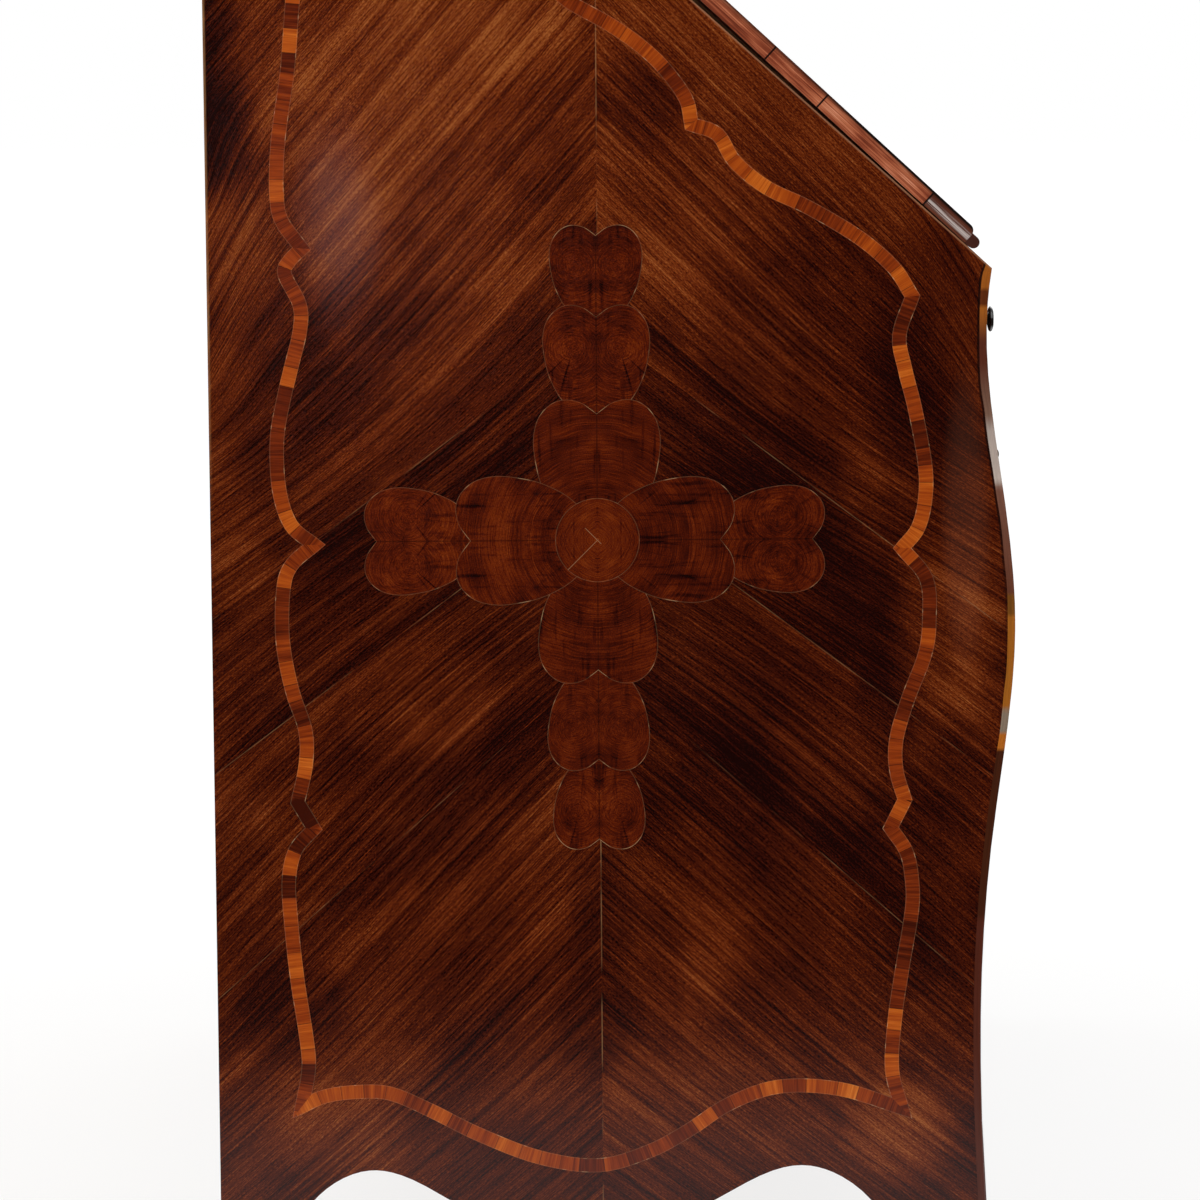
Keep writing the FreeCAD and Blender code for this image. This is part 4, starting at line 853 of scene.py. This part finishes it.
for row in ("upper", "middle", "lower"):
    dress(row + "_front", front_finish(row + "_front", DRAWER_MARGIN, BAND_WIDTH, 1.0))
for hand in ("left", "right"):
    dress("frieze_front_" + hand, front_finish("frieze_front_" + hand, FRIEZE_MARGIN, FRIEZE_BAND, 0.0))
print("fronts dressed")

# %% [markdown]
# The fall hangs on the slope, so its figure is read along the slope and through the board: one turn about
# the long axis gives both from y and z. Its thick side edge is banded in long tulipwood pieces.

# %% The fall, the top and the banded edges
# The fall: its slope and hinge line, its face, length and core on the slope, its side edge with the joints
# there, and the band round its inner face
SLOPE = math.radians(42.648)
PIN_Y, PIN_Z = -0.250522, 0.755
FALL_MIDDLE, FALL_HALF = (0.0, 0.19), (0.559, 0.196)
FALL_LENGTH = 0.387
FALL_CORE = 0.004
FALL_RIM_X = 0.5588
FALL_JOINTS = (0.060, 0.160, 0.209, 0.305)
WRITING_FRAME = (0.045, 0.053)
# Narrow parts are bare behind this
EDGE_DEPTH_Y = -0.225


def long_banding(f, along, across):
    """Long pieces of tulipwood with the grain along the edge, thin dark joints, a black outer line, painted
    shade towards both arrises, and a painted highlight on the last piece.
    """
    streak = f.noise(along * 11, across * 800, 3.0, 4.0, 0.7)
    slow = f.noise(along * 30, across * 90, 8.0, 2.0)
    figure = streak * 1.3 + slow * 0.8 - 0.58
    colour = f.grade(figure, (0.15, "4c1a0e"), (0.40, "8c4026"), (0.60, "bf6d49"), (0.85, "e6a888"))
    last = along < FALL_JOINTS[0]
    colour = f.mix(last * 0.8, colour, paint("4a2418"))
    # Painted highlight: a pale streak down the middle of the last piece by the hinge
    painted_gloss = last * f.rise(abs(across - 0.010), 0.0035, 0.001) * f.rise(streak, 0.40, 0.60)
    colour = f.mix(painted_gloss * 0.7, colour, paint("e4dcd6"))
    # Painted shade: the rounded edge is darker towards both arrises and lightest down its middle
    colour = f.shade(colour, 0.45 + 0.6 * f.rise(across, 0.0, 0.006) * f.rise(across, 0.018, 0.012))
    for joint in FALL_JOINTS:
        colour = f.mix(f.rise(abs(along - joint), 0.0009, 0.0004), colour, paint("180906"))
    outer = f.rise(across, 0.0150, 0.0160) * (0.35 + 0.65 * f.rise(along, 0.20, 0.12))
    return f.mix(outer, colour, paint("1a0d09"))


def fall_finish():
    """Outer face: panel on the slope; side edges: long banding with a black line; inner face: walnut with a
    narrow band."""
    f = Finish("fall_veneer")
    x, y, z = f.place()
    up = (y - PIN_Y) * math.cos(SLOPE) + (z - PIN_Z) * math.sin(SLOPE)
    through = (z - PIN_Z) * math.cos(SLOPE) - (y - PIN_Y) * math.sin(SLOPE)
    colour, figure = panel(f, x, up, FALL_MIDDLE, FALL_HALF, MARGIN)
    inner, _ = plain_wood(f, x, up, through, WALNUT, 4.0)
    band, _ = tulipwood(f, x, up, 6.0)
    near = f.least(FALL_HALF[0] - abs(x), f.least(up, FALL_LENGTH - up))
    inner = f.mix((near > WRITING_FRAME[0]) * (near < WRITING_FRAME[1]), inner, band)
    colour = f.mix(through < FALL_CORE, colour, inner)
    colour = f.mix(abs(x) > FALL_RIM_X, colour, long_banding(f, up, through))
    return f.polish(colour, wear(f, x, y, z), figure, FACE_RELIEF, gleam=FACE_GLEAM)


def top_finish():
    """The narrow top: a panel seen from above, kingwood round its edges."""
    middle, half, high = rectangle("top_board", 1)
    f = Finish("top_veneer")
    x, y, z = f.place()
    colour, figure = panel(f, x, y, middle, half, MARGIN)
    edge, _ = kingwood(f, z, x + y, 3.0)
    colour = f.mix(z < high.z - 0.0004, colour, edge)
    return f.polish(colour, wear(f, x, y, z), figure, FACE_RELIEF, gleam=FACE_GLEAM)


def edged(name, along, across, wood=WALNUT):
    """A narrow part with a kingwood face, its grain along the named coordinate, and bare wood behind."""
    f = Finish(name)
    place = dict(zip("xyz", f.place()))
    colour, figure = kingwood(f, place[along], place[across], 5.0, 0.03)
    bare, _ = plain_wood(f, place["y"], place["x"], place["z"], wood, 6.0)
    colour = f.mix(place["y"] > EDGE_DEPTH_Y, colour, bare)
    rough = wear(f, *place.values(), 0.26)
    return f.polish(colour, rough, figure, FACE_RELIEF, gleam=SIDE_GLEAM)


dress("fall_panel", fall_finish())
dress("top_board", top_finish())
lengthwise = edged("edge_lengthwise", "x", "z")
for name in ("drawer_rails", "frieze_board", "writing_board"):
    dress(name, lengthwise)
upright = edged("edge_upright", "z", "x")
for name in ("loper_dividers", "loper_left", "loper_right", "apron"):
    dress(name, upright)
dress("bottom_board", edged("edge_bottom", "x", "z", PINE))
print("fall, top and narrow edges dressed")

# %% [markdown]
# ## Inside woods and fittings
# Behind the veneer the case is plain: walnut for what is seen with the fall open, softwood for the rest. The
# fittings are cast brass gone dull in the hollows, filed iron, and knobs stained black and polished.

# %% Woods inside, brass, iron and black
def board_finish(name, stops, along, rough, seed=0.0, width=None):
    """A plain board, its grain along the named coordinate, or a row of boards so wide side by side."""
    f = Finish(name)
    place = dict(zip("xyz", f.place()))
    others = [key for key in "xyz" if key != along]
    if width:
        seed = f.maths("FLOOR", place["x"] / width) * 5.3 + seed
    colour, figure = plain_wood(f, place[along], place[others[0]], place[others[1]], stops, seed)
    if width:
        colour = f.shade(colour, 0.7 + 0.5 * f.noise(seed, 1.0, 2.0))
        joint = f.rise(f.maths("PINGPONG", place["x"], width / 2), 0.0016, 0.0006)
        colour = f.mix(joint * 0.8, colour, paint("2a180c"))
    stain = f.noise(*[value * 6 for value in place.values()], 4.0)
    colour = f.mix(f.rise(stain, 0.45, 0.80) * 0.4, colour, f.shade(colour, 0.45))
    return f.polish(colour, rough + 0.15 * stain, figure, 0.00008)


def metal_finish(name, bright, dull, rough, scale=40.0):
    """Cast or filed metal: bright where it is touched, dull in clouds, with fine scratches in its relief."""
    f = Finish(name)
    x, y, z = f.place()
    cloud = f.noise(x * scale, y * scale, z * scale, 4.0, 0.6)
    scratch = f.noise(x * 900, y * 120, z * 900, 2.0)
    tone = f.rise(cloud, 0.38, 0.66)
    colour = f.mix(tone, paint(dull), paint(bright))
    roughness = rough + 0.22 * (1 - tone) + 0.08 * scratch
    return f.polish(colour, roughness, scratch * 0.5 + cloud, 0.00005, metal=1.0)


def black_finish(name, dark, rubbed_to):
    """Ebonised wood: near black, a little brown where it is rubbed, with a hard polish."""
    f = Finish(name)
    x, y, z = f.place()
    grain = f.noise(x * 60, y * 600, z * 600, 3.0)
    rubbed = f.rise(f.noise(x * 50, y * 50, z * 50, 3.0), 0.55, 0.75)
    colour = f.mix(rubbed * 0.5, paint(dark), paint(rubbed_to))
    return f.polish(colour, 0.18 + 0.12 * grain, grain, 0.00004, coat=0.5)


BACK_BOARDS = 4
walnut_x = board_finish("walnut_lengthwise", WALNUT, "x", 0.42)
pine_y = board_finish("pine_front_to_back", PINE, "y", 0.72, 5.0)
pine_z = board_finish("pine_upright", PINE, "z", 0.72, 8.0)
back_low, back_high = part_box("back_boards")
pine_back = board_finish("pine_back", PINE, "z", 0.72, 8.0, (back_high.x - back_low.x) / BACK_BOARDS)
brass = metal_finish("brass", "c9a15a", "7d5d2c", 0.22)
hinge_brass = metal_finish("hinge_brass", "b8924f", "70552b", 0.28)
iron = metal_finish("iron", "76726d", "3d3936", 0.38)
black = black_finish("ebonised_wood", "120d0b", "2c1a10")
worn_black = black_finish("worn_black", "4a241a", "8a5544")
OTHERS = {
    "back_boards": pine_back, "foot_blocks": pine_z, "drawer_runners": pine_y,
    "pigeonhole_frame": walnut_x, "pigeonhole_arches": walnut_x, "fall_bead": worn_black,
}
for name in nodes:
    if "tray" in name:
        OTHERS[name] = pine_y
    elif name.startswith("letter_drawer"):
        OTHERS[name] = walnut_x
    elif "hinge_leaves" in name:
        OTHERS[name] = hinge_brass
    elif name.startswith("loper_knob"):
        OTHERS[name] = black
    elif any(word in name for word in ("knob", "bail", "mounts", "escutcheon")):
        OTHERS[name] = brass
    elif any(word in name for word in ("lock", "bolt", "pins")) and "blocks" not in name:
        OTHERS[name] = iron
for name, material in OTHERS.items():
    dress(name, material)
print("inside and fittings dressed", len(OTHERS))

# %% [markdown]
# ## The studio
# A pale floor and soft light from all round. Floor and world show white to the eye, while large soft lamps
# light the object at a plain level. Polish sees little of them: the floor close by, the sky high up, and one
# narrow window that leaves a soft gleam on the side.

# %% Floor, world and lamps
FLOOR_HALF = 30.0
CASE_MIDDLE_X = -0.2
LAMPS = (
    ("key_left", (-3.6, 2.6, 3.0), (0, 0, 0.5), 3.4, 3.4, 62),
    ("key_front", (-1.6, -4.2, 2.8), (0, 0, 0.5), 3.4, 3.4, 62),
    ("fill_right", (4.2, -1.6, 2.6), (0, 0, 0.5), 3.4, 3.4, 58),
    ("fill_back", (1.2, 4.4, 2.6), (0, 0, 0.5), 3.4, 3.4, 50),
    ("window", (-5.55, 0.46, 0.590), (-0.56, 0.198, 0.795), 0.03, 0.3, 0.33, (0.84, 0.90, 1.0)),
    ("overhead", (0.0, 0.01, 3.8), (0, 0, 0.6), 2.6, 2.6, 34),
)


def floor_piece():
    """A wide pale floor: white to the eye, mixed with a lit surface that keeps the shadow."""
    f = Finish("floor")
    f.join(paint("f2f0ec"), f.shader.inputs["Base Color"])
    f.shader.inputs["Roughness"].default_value = 0.9
    x, y, z = f.place()
    reach = f.maths("SQRT", (x - CASE_MIDDLE_X) * (x - CASE_MIDDLE_X) + y * y)
    seen, glossy = f.node("LightPath", out=0), f.node("LightPath", out=3)
    share = seen * (0.78 + 0.22 * f.rise(reach, 0.6, 2.2)) + glossy
    glow = f.blend(seen, 0.03 + 1.00 * f.rise(reach, 1.24, 1.06), 1.05)
    white = f.node("Emission", None, {0: glow, 1: 1.0})
    both = f.node("MixShader", None, {0: share, 1: Value(f, f.shader.outputs[0]), 2: white})
    f.tree.links.new(both.socket, f.tree.nodes["Material Output"].inputs["Surface"])
    mesh = bpy.data.meshes.new("floor")
    corners = [(a * FLOOR_HALF, b * FLOOR_HALF, 0) for a, b in ((-1, -1), (1, -1), (1, 1), (-1, 1))]
    mesh.from_pydata(corners, [], [(0, 1, 2, 3)])
    mesh.materials.append(f.material)
    placed("floor", mesh)


def lamp(name, place, aim, wide, high, power, tint=(1.0, 1.0, 1.0)):
    """A soft lamp, so wide and so high, that faces its aim."""
    data = bpy.data.lights.new(name, "AREA")
    data.shape = "RECTANGLE"
    data.size, data.size_y, data.energy, data.color = wide, high, power, tint
    back = unit(np.array(place, float) - np.array(aim, float))
    beside = unit(np.cross([0.0, 0.0, 1.0], back))
    placed(name, data, (beside, np.cross(back, beside), back, place))


floor_piece()
studio = bpy.data.worlds.new("studio")
bpy.context.scene.world = studio
studio.use_nodes = True
sky = Nodes(studio.node_tree)
lit = sky.tree.nodes["Background"]
lit.inputs["Color"].default_value = (0.97, 0.98, 1.0, 1)
lit.inputs["Strength"].default_value = 0.42
height = sky.parts(sky.node("TexCoord", out=0), 3)[2]
gleam = sky.node("Background", None, {0: 0.03 + 0.6 * sky.rise(height, 0.2, 0.8), 1: 1.0})
white = sky.node("Background", None, {0: (1, 1, 1, 1), 1: 1.0})
camera_ray, glossy_ray, through_ray = [sky.node("LightPath", out=i) for i in (0, 3, 6)]
polished = sky.node("MixShader", None, {0: glossy_ray, 1: Value(sky, lit.outputs[0]), 2: gleam})
backdrop = sky.node("MixShader", None, {0: sky.most(camera_ray, through_ray), 1: polished, 2: white})
sky.join(backdrop, sky.tree.nodes["World Output"].inputs["Surface"])
for row in LAMPS:
    lamp(*row)
print("lamps", [row[0] for row in LAMPS])
